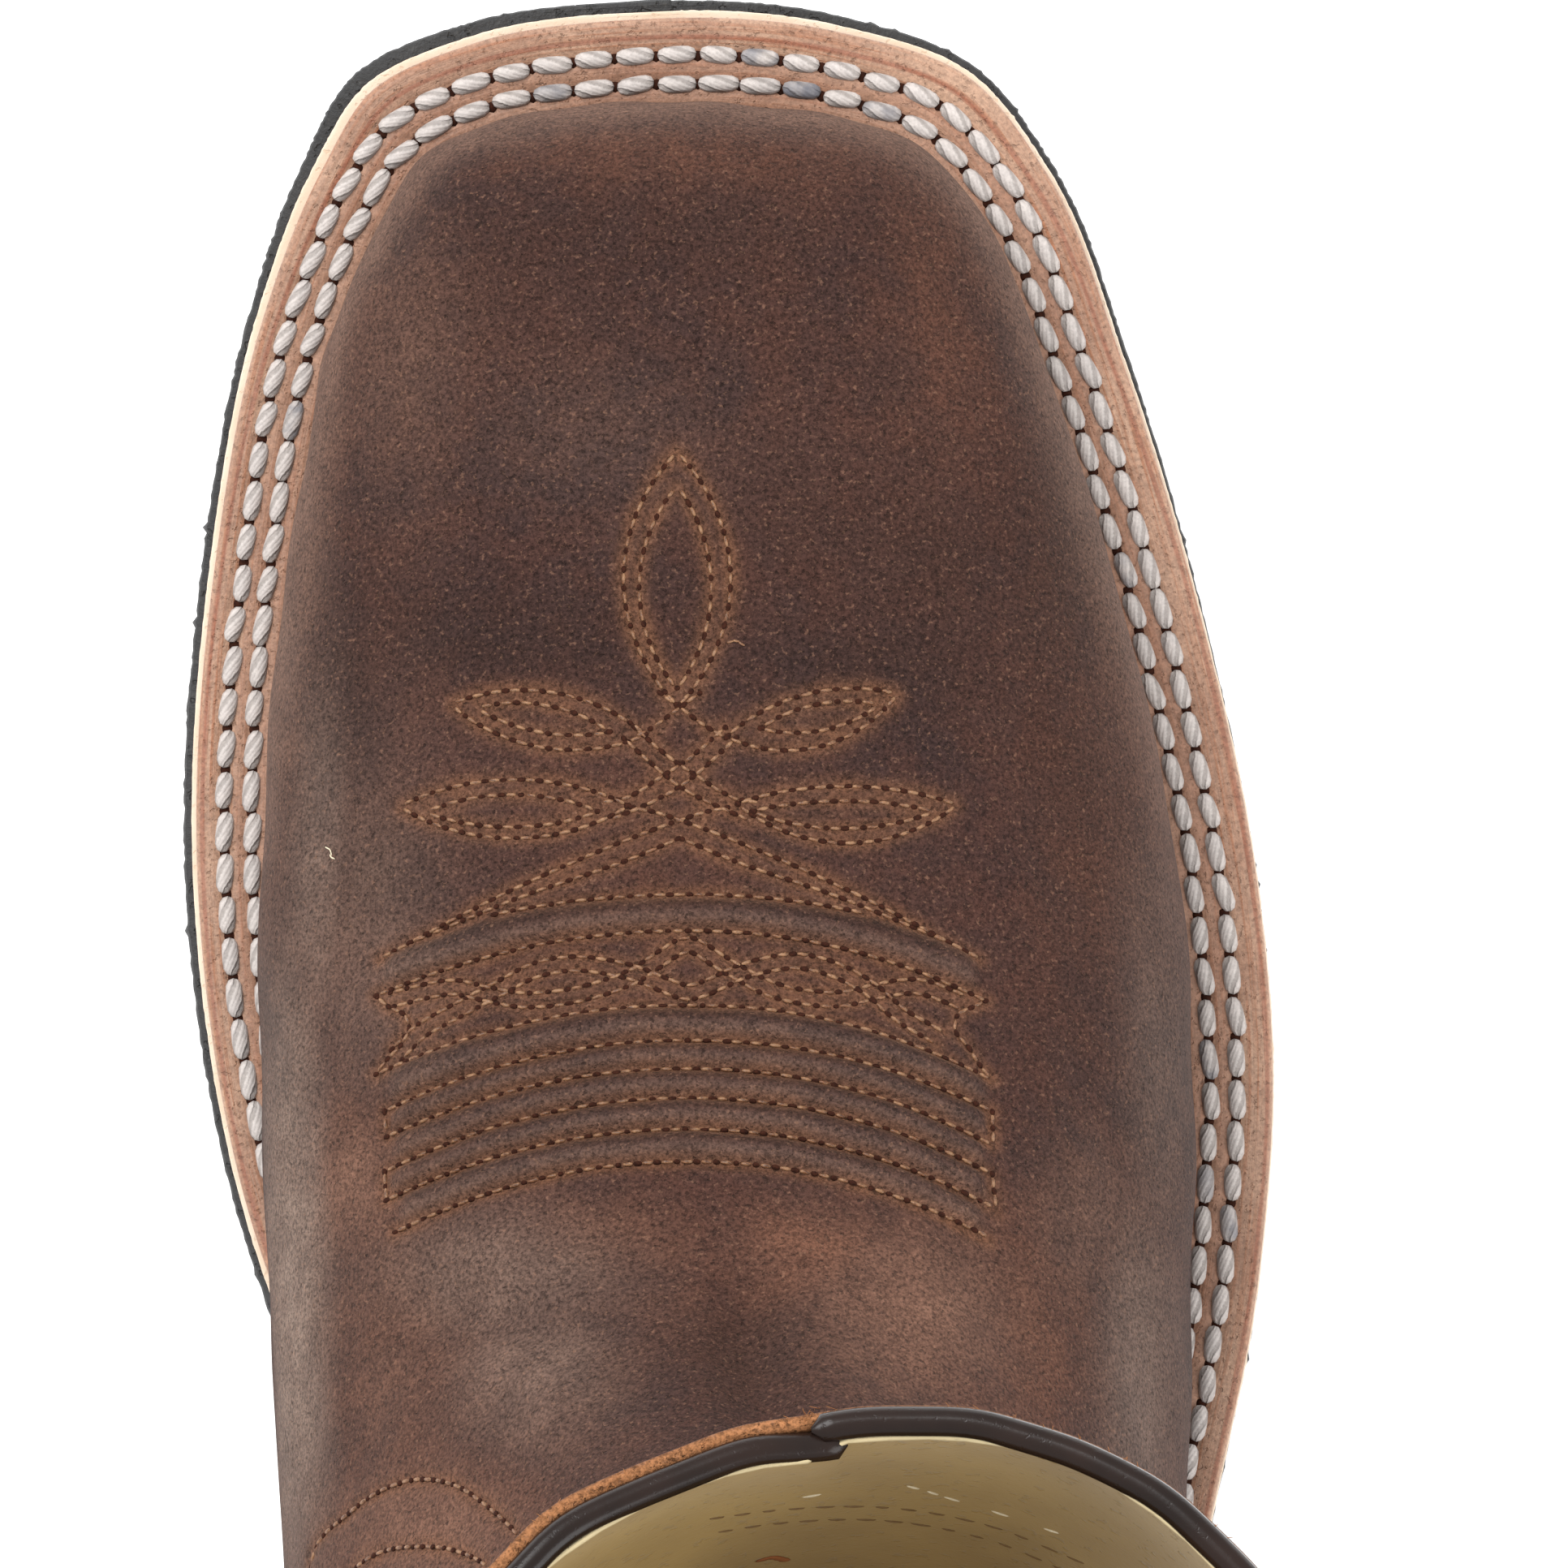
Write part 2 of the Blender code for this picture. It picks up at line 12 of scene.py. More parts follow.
import bpy
import numpy as np
from mathutils import Matrix, Vector
from mathutils.bvhtree import BVHTree
from mathutils.kdtree import KDTree


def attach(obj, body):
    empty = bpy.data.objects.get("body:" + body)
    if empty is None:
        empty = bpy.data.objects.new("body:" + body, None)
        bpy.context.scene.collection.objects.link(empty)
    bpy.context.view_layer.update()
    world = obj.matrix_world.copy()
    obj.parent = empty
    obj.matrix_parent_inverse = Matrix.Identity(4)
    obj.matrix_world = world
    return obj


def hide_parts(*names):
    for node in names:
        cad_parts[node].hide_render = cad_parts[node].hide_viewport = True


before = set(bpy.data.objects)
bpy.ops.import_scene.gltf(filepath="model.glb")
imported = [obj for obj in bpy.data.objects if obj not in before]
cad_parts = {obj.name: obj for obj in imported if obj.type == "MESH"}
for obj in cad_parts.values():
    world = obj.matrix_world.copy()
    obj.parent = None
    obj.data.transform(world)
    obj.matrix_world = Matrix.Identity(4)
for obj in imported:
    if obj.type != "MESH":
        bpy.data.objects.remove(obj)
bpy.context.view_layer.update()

MM = 0.001
scene = bpy.context.scene
print("frame nodes:", sorted(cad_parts))

# %% [markdown]
# ## The camera
# The photo was taken from high above the instep with a long lens. A camera is a place, a point that
# it aims at, and the direction that is up in the picture. The lens follows from how wide a strip of
# the welt the picture spans, so the framing is set by sizes on the boot and not by trial.

# %% Camera
CAMERA_PLACE = Vector((-40.0, 22.0, 1600.0))
CAMERA_AIM = Vector((6.8, 69.4, 15.0))
PICTURE_UP = Vector((0.0498, 0.9988, 0.0))
PICTURE_SPAN = 165.7
SENSOR = 36.0
NEAREST_METRES = 0.05
FARTHEST_METRES = 20.0

SIGHT_LENGTH = (CAMERA_AIM - CAMERA_PLACE).length
forward = (CAMERA_AIM - CAMERA_PLACE).normalized()
rightward = forward.cross(PICTURE_UP).normalized()
upward = rightward.cross(forward)
eye = bpy.data.cameras.new("photo_camera")
eye.sensor_width = SENSOR
eye.lens = SENSOR * SIGHT_LENGTH / PICTURE_SPAN
eye.clip_start = NEAREST_METRES
eye.clip_end = FARTHEST_METRES
camera = bpy.data.objects.new("photo_camera", eye)
turn = Matrix((rightward, upward, -forward)).transposed().to_quaternion()
camera.matrix_world = Matrix.LocRotScale(CAMERA_PLACE * MM, turn, None)
scene.collection.objects.link(camera)
scene.camera = camera
scene.view_settings.view_transform = "Standard"
print("lens", round(eye.lens, 1))

# %% [markdown]
# ## The stitch chart's paper
# The toe stitching is charted as it is seen from the camera: millimetres to the right and
# back from the place where its strands cross, at the depth of the camera's aim. `charted` tells where
# a point of the boot lies on that paper, and `sight_ray` gives the line of sight through a place on it.

# %% Chart
CHART_RIGHT = -10.4
CHART_UP = 0.9
PICTURE_AXES = np.array([rightward, upward, forward])


def charted(points):
    """Right and back on the chart's paper, for points in millimetres."""
    away = (points - np.array(CAMERA_PLACE)) @ PICTURE_AXES.T
    flat = away[:, :2] * (SIGHT_LENGTH / away[:, 2:3])
    return flat[:, 0] - CHART_RIGHT, CHART_UP - flat[:, 1]


def sight_ray(right, back):
    """Direction from the camera through a place on the chart."""
    side = rightward * (right + CHART_RIGHT)
    return (side + upward * (CHART_UP - back) + forward * SIGHT_LENGTH).normalized()


# %% [markdown]
# ## The last
# A boot is built over a last, the wooden foot that gives it its shape. The tables that made the frame's
# solids are repeated here, with small corrections from the photo: the sole's edge, sections of the last
# from toe to collar and the line of the back. From them any fineness of mesh can be drawn, so the
# leather can carry creases.

# %% Tables of the last
def table(columns, *rows):
    """Rows of plain values with named columns."""
    kind = namedtuple("Row", columns)
    return [kind(*row) for row in rows]


SOLE_EDGE = table(
    "name behind across trim welt cream row",
    ("toe centre", -0.5, -6.0, 1.4, 11.9, 1, 3.75),
    ("toe outer", 2.2, 17.5, 1.3, 11.9, 0.9, 3.8),
    ("outer corner", 8.0, 31.0, 1.1, 11.4, 0.75, 3.85),
    ("outer corner back", 19.0, 39.0, 0.9, 10.6, 0.6, 3.8),
    ("outer toe side", 40.0, 46.2, 0.7, 10.1, 0.5, 3.85),
    ("outer forefoot", 66.0, 52.5, 0.4, 9.8, 0.4, 3.9),
    ("outer ball", 97.0, 57.1, 0.15, 9.6, 0.3, 3.9),
    ("outer ball back", 117.0, 57.6, 0.15, 9.5, 0.3, 3.9),
    ("outer waist front", 138.0, 54.9, 0.2, 9.0, 0.3, 3.7),
    ("outer waist", 170.0, 46.5, 0.3, 7.4, 0.4, 3.3),
    ("outer shank", 210.0, 39.5, 0.6, 6.0, 0.6, 3.0),
    ("outer heel", 255.0, 36.2, 0.8, 4.0, 0.9, 3.0),
    ("outer heel back", 285.0, 31.5, 0.8, 2.8, 0.9, 3.0),
    ("heel back outer", 300.0, 18.0, 0.8, 2.8, 0.9, 3.0),
    ("heel back", 305.0, 1.0, 0.8, 2.8, 0.9, 3.0),
    ("heel back inner", 300.0, -16.0, 0.8, 2.8, 0.9, 3.0),
    ("inner heel back", 285.0, -29.5, 0.8, 2.8, 0.9, 3.0),
    ("inner heel", 255.0, -33.8, 0.8, 4.0, 0.9, 3.0),
    ("inner shank", 212.0, -30.0, 0.8, 5.6, 0.9, 3.0),
    ("inner waist", 178.0, -34.8, 0.8, 6.2, 0.7, 3.0),
    ("inner waist front", 148.0, -46.5, 0.8, 7.4, 0.6, 3.0),
    ("inner ball back", 122.0, -54.0, 0.8, 8.6, 0.5, 3.0),
    ("inner ball", 90.0, -57.0, 0.9, 8.9, 0.5, 3.0),
    ("inner forefoot", 56.0, -53.5, 0.9, 9.4, 0.6, 3.0),
    ("inner toe side", 30.0, -47.2, 0.95, 9.7, 0.8, 2.8),
    ("inner corner back", 15.0, -41.0, 1.35, 10.9, 1.05, 2.95),
    ("inner corner", 6.0, -35.2, 1.8, 11.6, 1.05, 3.6),
    ("toe inner", 1.0, -23.0, 1.7, 11.9, 1, 3.75),
)
LAST = table(
    "name crown_behind crown_up tilt crown_across base_across medial lateral widest top low",
    ("toe box", 37.0, 47.0, 0.0, -3.0, -3.0, -39.8, 35.2, 22.5, 2.35, 2.4),
    ("vamp front", 62.0, 52.0, 0.0, -3.6, -3.0, -45.0, 41.8, 26.5, 2.25, 2.4),
    ("ball", 92.0, 60.0, 0.0, -4.4, -2.0, -49.0, 47.2, 33.0, 2.1, 2.4),
    ("vamp back", 118.0, 71.0, 8.0, -4.6, 0.0, -49.8, 47.2, 40.0, 1.98, 2.4),
    ("instep", 136.0, 84.0, 22.0, -4.0, 0.5, -50.0, 44.6, 49.0, 1.9, 2.4),
    ("throat below", 147.0, 97.5, 40.0, -2.8, 1.0, -49.4, 42.0, 59.0, 1.88, 2.35),
    ("throat", 153.0, 112.0, 60.0, -1.2, 1.0, -44.4, 40.4, 70.0, 1.95, 2.25),
    ("ankle below", 154.6, 122.0, 76.0, 0.4, 1.0, -42.0, 41.0, 72.0, 2.0, 2.2),
    ("ankle", 155.2, 134.0, 90.0, 1.6, 1.0, -42.4, 42.2, 72.0, 2.05, 2.15),
    ("shaft low", 154.4, 172.0, 90.0, 3.0, 1.4, -45.4, 45.4, 71.0, 2.1, 2.1),
    ("shaft", 151.2, 232.0, 90.0, 4.0, 1.8, -49.8, 48.4, 72.0, 2.18, 2.12),
    ("collar", 146.0, 305.0, 90.0, 4.5, 2.0, -53.5, 50.0, 75.0, 2.3, 2.12),
)
BACK_LINE = table(
    "up behind", (41.5, 301.9), (58.0, 302.9), (78.0, 301.4), (104.0, 296.6), (134.0, 291.6),
    (172.0, 289.6), (232.0, 291.4), (305.0, 296.0))


# %% Curves
def run_along(points):
    """Distances along a line of points from its start."""
    return np.concatenate([[0.0], np.cumsum(np.linalg.norm(np.diff(points, axis=0), axis=1))])


def read_off(at, run, points):
    """Points at distances along a line."""
    return np.stack([np.interp(at, run, column) for column in points.T], 1)


def unit(vectors):
    """Vectors made one long."""
    return vectors / np.maximum(np.linalg.norm(vectors, axis=1, keepdims=True), 1e-12)


def eased(value):
    """0 up to 0, 1 from 1 on and a soft rise between."""
    value = np.clip(value, 0.0, 1.0)
    return value * value * (3 - 2 * value)


def smooth(knots, values, at):
    """The smooth curve through the knots. The slope at a knot is the weighted mean of its chords."""
    knots, values, at = (np.asarray(numbers, float) for numbers in (knots, values, at))
    step = np.diff(knots)
    chord = np.diff(values) / step
    inner = (chord[:-1] * step[1:] + chord[1:] * step[:-1]) / (step[1:] + step[:-1])
    slope = np.concatenate([chord[:1], inner, chord[-1:]])
    i = np.clip(np.searchsorted(knots, at, side="right") - 1, 0, len(step) - 1)
    t = (at - knots[i]) / step[i]
    rise = t * t * (3 - 2 * t)
    start = (1 - rise) * values[i] + rise * values[i + 1]
    return start + step[i] * t * (1 - t) * ((1 - t) * slope[i] - t * slope[i + 1])


def closed_curve(rows, count):
    """Even samples of the closed smooth curve through the rows, one array for each column."""
    plan = np.array([(row.behind, row.across) for row in rows])
    knots = run_along(np.vstack([plan, plan[:1]]))
    whole = knots[-1]
    knots = np.concatenate([knots[-4:-1] - whole, knots, knots[1:4] + whole])
    at = np.arange(count) * whole / count
    columns = np.array([row[1:] for row in rows]).T
    return [smooth(knots, np.concatenate([column[-3:], column, column[:4]]), at) for column in columns]


def inset_curve(behind, across, depth):
    """The closed curve moved inwards by depth."""
    run_behind = np.roll(behind, -1) - np.roll(behind, 1)
    run_across = np.roll(across, -1) - np.roll(across, 1)
    size = np.hypot(run_behind, run_across)
    return behind + depth * run_across / size, across - depth * run_behind / size


def softened(values, half_window):
    """Mean of each value of a closed curve with its neighbours, which rounds off sharp corners."""
    window = np.hanning(2 * half_window + 3)[1:-1]
    padded = np.concatenate([values[-half_window:], values, values[:half_window]])
    return np.convolve(padded, window / window.sum(), mode="valid")


# %% [markdown]
# ## Heights and lines of the sole
# Seen from the side the sole rises at the toe, lies flat under the ball and climbs to the heel seat.
# One formula gives that height, and every layer is a fixed distance above it. The feather line is where
# the upper comes out of the welt. It starts the upper's sections on both sides.

# %% Heights and lines
SOLE_LENGTH = 305.0
HEEL_HEIGHT = 30.0
TOE_SPRING = 10.0
SPRING_LIMIT = 1.1
TREAD_FRONT = 76.0
TREAD_BACK = 120.0
SHANK_END = 234.0
OUTSOLE_THICKNESS = 5.0
MIDSOLE_THICKNESS = 2.6
WELT_THICKNESS = 3.0
GAP = 0.3
DENSE = 1440
TOE_WINDOW = 47
TOE_END = 60.0
SIDES = (-1, 1)


def sole_bottom(behind):
    """Height of the outsole's lower face: toe spring, flat tread, arch and heel seat."""
    spring = np.clip((TREAD_FRONT - behind) / TREAD_FRONT, 0, SPRING_LIMIT)
    arch = np.clip((behind - TREAD_BACK) / (SHANK_END - TREAD_BACK), 0, 1)
    return TOE_SPRING * spring ** 2 + HEEL_HEIGHT * arch * arch * (3 - 2 * arch)


def midsole_bottom(behind):
    """Height of the midsole's lower face."""
    return sole_bottom(behind) + OUTSOLE_THICKNESS + GAP


def seat(behind):
    """Height at which the upper and the welt rest on the midsole."""
    return midsole_bottom(behind) + MIDSOLE_THICKNESS + GAP


def crease(behind):
    """Height at which the upper comes out of the welt."""
    return seat(behind) + WELT_THICKNESS + GAP


def toe_rounded(plan):
    """A closed line with its corners at the toe rounded off."""
    part = eased((TOE_END - plan[0]) / TOE_END)
    return [values + part * (softened(values, TOE_WINDOW) - values) for values in plan]


def stand(points):
    """Points given as behind, across and up, in the boot's own frame."""
    return np.stack([points[..., 1], SOLE_LENGTH / 2 - points[..., 0], points[..., 2]], -1)


def branch(side):
    """The feather line from toe to heel on one side, as behind, across and up, and the run along it."""
    if side > 0:
        index = np.arange(toe_index, heel_index + 1) % DENSE
    else:
        index = np.arange(toe_index + DENSE, heel_index - 1, -1) % DENSE
    behind = feather_behind[index]
    line = np.stack([behind, feather_across[index], crease(behind)], 1)
    return line, run_along(line)


edge_behind, edge_across, edge_trim, edge_welt, edge_cream, edge_row = closed_curve(SOLE_EDGE, DENSE)
feather_behind, feather_across = toe_rounded(inset_curve(edge_behind, edge_across, edge_welt + GAP))
toe_index = int(np.argmin(feather_behind))
heel_index = int(np.argmax(feather_behind))
LINES = {side: branch(side) for side in SIDES}
BACK_UP = np.linspace(BACK_LINE[0].up, BACK_LINE[-1].up, DENSE)
BACK_BEHIND = smooth(*zip(*BACK_LINE), BACK_UP)
print("feather line", [round(LINES[side][1][-1]) for side in SIDES], "mm a side")

# %% [markdown]
# ## Sections of the upper
# Each section is a plane through the crown of the foot. In front it stands upright, over the instep
# it leans back, and from the ankle up it lies flat, so the rows of the mesh follow the leather as it
# turns from foot to leg. Half a section is two quarters of rounded ovals, from crown to widest place
# and from there to the feather line.

# %% Planes of the sections
def last_values(t):
    """The section row at place t along the list of rows."""
    places = np.arange(len(LAST))
    columns = list(zip(*LAST))[1:]
    return LAST[0]._make(["", *(float(smooth(places, column, t)) for column in columns)])


def past(row, behind, up):
    """How far points lie beyond the section's plane, on the heel or collar side of it."""
    lean = math.radians(row.tilt)
    return (behind - row.crown_behind) * math.cos(lean) + (up - row.crown_up) * math.sin(lean)


def crossing(row, line):
    """Where the section's plane cuts a line of points."""
    gap = past(row, line[:, 0], line[:, 2])
    i = np.nonzero((gap[:-1] <= 0) & (gap[1:] > 0))[0][0]
    share = gap[i] / (gap[i] - gap[i + 1])
    return line[i] + share * (line[i + 1] - line[i])


def section_ends(row):
    """Where the section's plane cuts the feather line on both sides."""
    return {side: crossing(row, LINES[side][0]) for side in SIDES}


def back_crossing(row):
    """Where a closed section meets the back line."""
    line = np.stack([BACK_BEHIND, np.full(DENSE, row.base_across), BACK_UP], 1)
    gap = past(row, line[:, 0], line[:, 2])
    i = int(np.clip(np.searchsorted(gap, 0.0), 1, DENSE - 1))
    share = gap[i - 1] / (gap[i - 1] - gap[i])
    return line[i - 1] + share * (line[i] - line[i - 1])


# %% Points of a section
CURVE_SAMPLES = 240
SHARE_LIMIT = 0.9995
CROWN_BUNCHING = 0.3


def rounded(reach_top, reach_low, depth_top, depth_end, end_reach, power_top, power_low):
    """Half a section from crown to end: distance out above and below the widest place, and down the plane."""
    turn = np.linspace(0.0, math.pi / 2, CURVE_SAMPLES)
    out_top = reach_top * np.sin(turn) ** (2 / power_top)
    down_top = depth_top - depth_top * np.cos(turn) ** (2 / power_top)
    share = min(max(end_reach / reach_low, 0.0), SHARE_LIMIT)
    depth_low = (depth_end - depth_top) / (1 - share ** power_low) ** (1 / power_low)
    last = math.asin(share ** (power_low / 2))
    turn = np.linspace(math.pi / 2, last, CURVE_SAMPLES)[1:]
    out_low = reach_low * np.sin(turn) ** (2 / power_low)
    down_low = depth_top + depth_low * np.cos(turn) ** (2 / power_low)
    return out_top, out_low, np.concatenate([down_top, down_low])


def spaced(points, count, bunching=0.0):
    """Points along a line of points, closer together towards its end where bunching is above 0."""
    run = run_along(points)
    share = np.linspace(0.0, 1.0, count)
    return read_off(run[-1] * (share + bunching * share * (1 - share)), run, points)


def half_section(row, side, end, columns):
    """Points from the end on the feather or back line up to the crown: behind, across, up."""
    lean = math.radians(row.tilt)
    reach = row.lateral if side > 0 else row.medial
    depth_end = (end[0] - row.crown_behind) * math.sin(lean) + (row.crown_up - end[2]) * math.cos(lean)
    out_top, out_low, down = rounded(
        side * (reach - row.crown_across), side * (reach - row.base_across), row.widest, depth_end,
        side * (end[1] - row.base_across), row.top, row.low)
    across = np.concatenate([row.crown_across + side * out_top, row.base_across + side * out_low])
    points = np.stack([row.crown_behind + down * math.sin(lean), across,
                       row.crown_up - down * math.cos(lean)], 1)
    return spaced(points[::-1], columns + 1, CROWN_BUNCHING)


def whole_section(row, ends, columns):
    """Points from the inner end over the crown to the outer end."""
    medial, lateral = (half_section(row, side, ends[side], columns) for side in SIDES)
    return np.vstack([medial, lateral[::-1][1:]])


# %% [markdown]
# ## Rows of the upper
# The toe box is closed by spokes that run from the feather line up to one pole. Behind it come open
# rows, closer together where the toe stitching makes fine ridges, and from the heel up closed rings.
# The sides of the top rings are raised, because the collar of a western boot dips in front and behind.

# %% Toe spokes
SLOPE_STEP = 0.01


def toe_spoke(row, slope, end, bulge, columns):
    """Points from the feather line at the toe up to the pole of the toe box."""
    pole = np.array([row.crown_behind, row.crown_across])
    away = end[:2] - pole
    size = float(np.linalg.norm(away))
    reach = size + bulge
    out_top, out_low, down = rounded(
        reach, reach, row.widest, row.crown_up - end[2], size, row.top, row.low)
    out = np.concatenate([out_top, out_low])
    plan = pole + out[:, None] * (away / size)
    fade = np.clip(1 - out / reach, 0, 1) ** 2
    up = row.crown_up - down + slope * (plan[:, 0] - pole[0]) * fade
    return spaced(np.column_stack([plan, up])[::-1], columns + 1, CROWN_BUNCHING)


def toe_spokes(count, columns):
    """Spokes round the toe, from the inner to the outer end of the first section."""
    first = last_values(0.0)
    second = last_values(SLOPE_STEP)
    slope = (second.crown_up - first.crown_up) / (second.crown_behind - first.crown_behind)
    ends = section_ends(first)
    bulges = {-1: ends[-1][1] - first.medial, 1: first.lateral - ends[1][1]}
    front = {side: line[line[:, 0] < ends[side][0]] for side, (line, _) in LINES.items()}
    ring = np.vstack([ends[-1], front[-1][::-1], front[1][1:], ends[1]])
    spokes = []
    for end in spaced(ring, count + 1):
        share = np.clip((end[1] - ends[-1][1]) / (ends[1][1] - ends[-1][1]), 0, 1)
        spokes.append(toe_spoke(first, slope, end, (1 - share) * bulges[-1] + share * bulges[1], columns))
    return spokes


# %% Open and closed rows
SCAN_STEPS = 1000
HALVINGS = 50
COLLAR_SIDE_LIFT = 14.0
LIFT_START = 200.0
LAST_END = len(LAST) - 1.0
COLLAR_UP = LAST[-1].crown_up


def corner_place(heel):
    """Place along the rows where the section's plane passes through the back of the feather line."""
    low = 0.0
    high = LAST_END
    for _ in range(HALVINGS):
        middle = (low + high) / 2
        if past(last_values(middle), heel[0], heel[2]) > 0:
            low = middle
        else:
            high = middle
    return (low + high) / 2


def open_rows(steps, columns, corner):
    """Sections from toe box to heel, spaced along the inner feather line as the steps say."""
    line, run = LINES[-1]
    scan = np.linspace(0.0, corner, SCAN_STEPS)[:-1]
    reached = [np.interp(crossing(last_values(t), line)[0], line[:, 0], run) for t in scan]
    wanted = [np.interp(section_ends(last_values(0.0))[-1][0], line[:, 0], run)]
    for step in steps:
        limit = np.interp(step.until, line[:, 0], run)
        while wanted[-1] + step.spacing < limit:
            wanted.append(wanted[-1] + step.spacing)
    rows = [last_values(t) for t in np.interp(wanted, np.maximum.accumulate(reached), scan)]
    return [whole_section(row, section_ends(row), columns) for row in rows]


def lift_sides(ring, centre):
    """Raises the sides of the upper shaft, so that the collar dips in front and behind."""
    share = np.clip((ring[:, 2] - LIFT_START) / (COLLAR_UP - LIFT_START), 0, 1)
    out = (ring[:, 1] - centre) / np.abs(ring[:, 1] - centre).max()
    ring[:, 2] += COLLAR_SIDE_LIFT * share ** 2 * out ** 2
    return ring


def closed_rows(count, columns, corner, heel):
    """Rings from the back of the heel up to the collar."""
    rings = []
    for t in np.linspace(corner, LAST_END, count + 1):
        row = last_values(t)
        back = back_crossing(row) if rings else heel
        if not rings:
            row = row._replace(base_across=heel[1])
        ring = whole_section(row, {side: back for side in SIDES}, columns)
        rings.append(lift_sides(ring, row.crown_across))
    return rings


# %% [markdown]
# ## Sheets and pieces
# Leather and soles are all sheets of four-sided faces between lines of points. A small class gathers
# points and faces, so that every piece below is only a matter of saying which line follows which.

# %% Sheet
class Sheet:
    """Points, four-cornered faces and named values of one piece. A triangle repeats its last corner."""

    def __init__(self):
        self.points = np.zeros((0, 3))
        self.faces = []
        self.values = {}

    def add(self, points):
        """Adds points and gives their numbers."""
        first = len(self.points)
        self.points = np.vstack([self.points, points])
        return np.arange(first, len(self.points))

    def strip(self, low, high):
        """Faces between two open lines."""
        self.faces.append(np.stack([low[:-1], high[:-1], high[1:], low[1:]], 1))

    def band(self, low, high):
        """Faces between two closed lines."""
        self.strip(np.append(low, low[0]), np.append(high, high[0]))

    def tube(self, lines):
        """Faces of a tube whose lines run lengthwise."""
        for line, following in zip(lines, lines[1:] + lines[:1]):
            self.strip(line, following)

    def stack(self, loops):
        """Faces of a block: closed loops, lowest first, that go out on one side and back on the other."""
        for low, high in zip(loops, loops[1:]):
            self.band(low, high)
        half = len(loops[0]) // 2
        self.strip(loops[0][half:][::-1], loops[0][:half])
        self.strip(loops[-1][:half], loops[-1][half:][::-1])

    def corners(self):
        """All faces as one table of point numbers."""
        return np.vstack(self.faces)


def point_normals(points, faces):
    """Unit normals at the points, outwards."""
    a, b, c, d = (points[faces[:, i]] for i in range(4))
    normal = np.cross(c - a, d - b)
    total = np.zeros_like(points)
    for i in range(4):
        np.add.at(total, faces[:, i], normal)
    return unit(total)


def face_list(faces):
    """Faces as lists of corners, each corner once."""
    return [tuple(dict.fromkeys(face)) for face in faces.tolist()]


def surface_tree(sheet):
    """A tree that tells where a line of sight meets a sheet."""
    return BVHTree.FromPolygons(sheet.points.tolist(), face_list(sheet.corners()))


# %% Pieces
def make_piece(name, sheet, material, sharp_degrees=None):
    """A mesh object from a sheet, with the sheet's values as attributes."""
    mesh = bpy.data.meshes.new(name)
    mesh.from_pydata((sheet.points * MM).tolist(), [], face_list(sheet.corners()))
    mesh.update()
    mesh.shade_smooth()
    if sharp_degrees is not None:
        mesh.set_sharp_from_angle(angle=math.radians(sharp_degrees))
    for key, value in sheet.values.items():
        single = value.ndim == 1
        field = mesh.attributes.new(key, "FLOAT" if single else "FLOAT_VECTOR", "POINT")
        field.data.foreach_set("value" if single else "vector", value.ravel())
    mesh.materials.append(material)
    thing = bpy.data.objects.new(name, mesh)
    scene.collection.objects.link(thing)
    return thing


def hand_over(thing, slot, *replaced):
    """The piece rides on the boot's one body and stands for the frame's solids that it replaces."""
    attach(thing, "root")
    if replaced:
        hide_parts(*replaced)
    mesh = thing.data
    mesh.calc_loop_triangles()
    print(thing.name, len(mesh.loop_triangles), "triangles")


# %% [markdown]
# ## Tools for materials
# A material is a small tree of nodes. `node` makes one node and fills or links its inputs, and `paint`
# turns the colour values of a paint card into light. A `Finish` is a material in the making: colours
# are laid on it one over another, as a leather finisher does, and it is closed with a bump.

# %% Node helpers
def paint(red, green, blue):
    """A colour given on the 0 to 255 scale of a paint card, as linear light."""
    def linear(value):
        share = value / 255
        return share / 12.92 if share < 0.04045 else ((share + 0.055) / 1.055) ** 2.4
    return (linear(red), linear(green), linear(blue), 1.0)


def feed(tree, socket, value):
    """Links a socket to a socket, or sets it to a value."""
    if isinstance(value, bpy.types.NodeSocket):
        tree.links.new(value, socket)
    else:
        socket.default_value = value


def node(tree, kind, inputs, **settings):
    """A new node with its settings and inputs."""
    made = tree.nodes.new(kind)
    for key, value in settings.items():
        setattr(made, key, value)
    for key, value in inputs.items():
        feed(tree, made.inputs[key], value)
    return made


def math_node(tree, operation, *values):
    """Result of one sum or function."""
    return node(tree, "ShaderNodeMath", dict(enumerate(values)), operation=operation).outputs[0]


def times(tree, value, factor):
    """Product of two values."""
    return math_node(tree, "MULTIPLY", value, factor)


def plus(tree, value, other):
    """Sum of two values."""
    return math_node(tree, "ADD", value, other)


def ramp(tree, value, low, high):
    """0 below low, 1 above high and smooth between."""
    inputs = {0: value, 1: low, 2: high}
    return node(tree, "ShaderNodeMapRange", inputs, interpolation_type="SMOOTHSTEP").outputs[0]


def stretched(tree, where, factors):
    """Coordinates made longer or shorter in each direction."""
    return node(tree, "ShaderNodeVectorMath", {0: where, 1: factors}, operation="MULTIPLY").outputs[0]


def own_place(tree):
    """The piece's own coordinates."""
    return node(tree, "ShaderNodeTexCoord", {}).outputs["Object"]


def parted(tree, vector):
    """The three values of a vector."""
    return node(tree, "ShaderNodeSeparateXYZ", {0: vector}).outputs


def attribute(tree, name, output="Fac"):
    """A value stored on the mesh."""
    return node(tree, "ShaderNodeAttribute", {}, attribute_name=name).outputs[output]


def noise(tree, where, scale, detail=2.0, roughness=0.5):
    """A cloudy value between 0 and 1."""
    inputs = {"Vector": where, "Scale": scale, "Detail": detail, "Roughness": roughness}
    return node(tree, "ShaderNodeTexNoise", inputs).outputs[0]


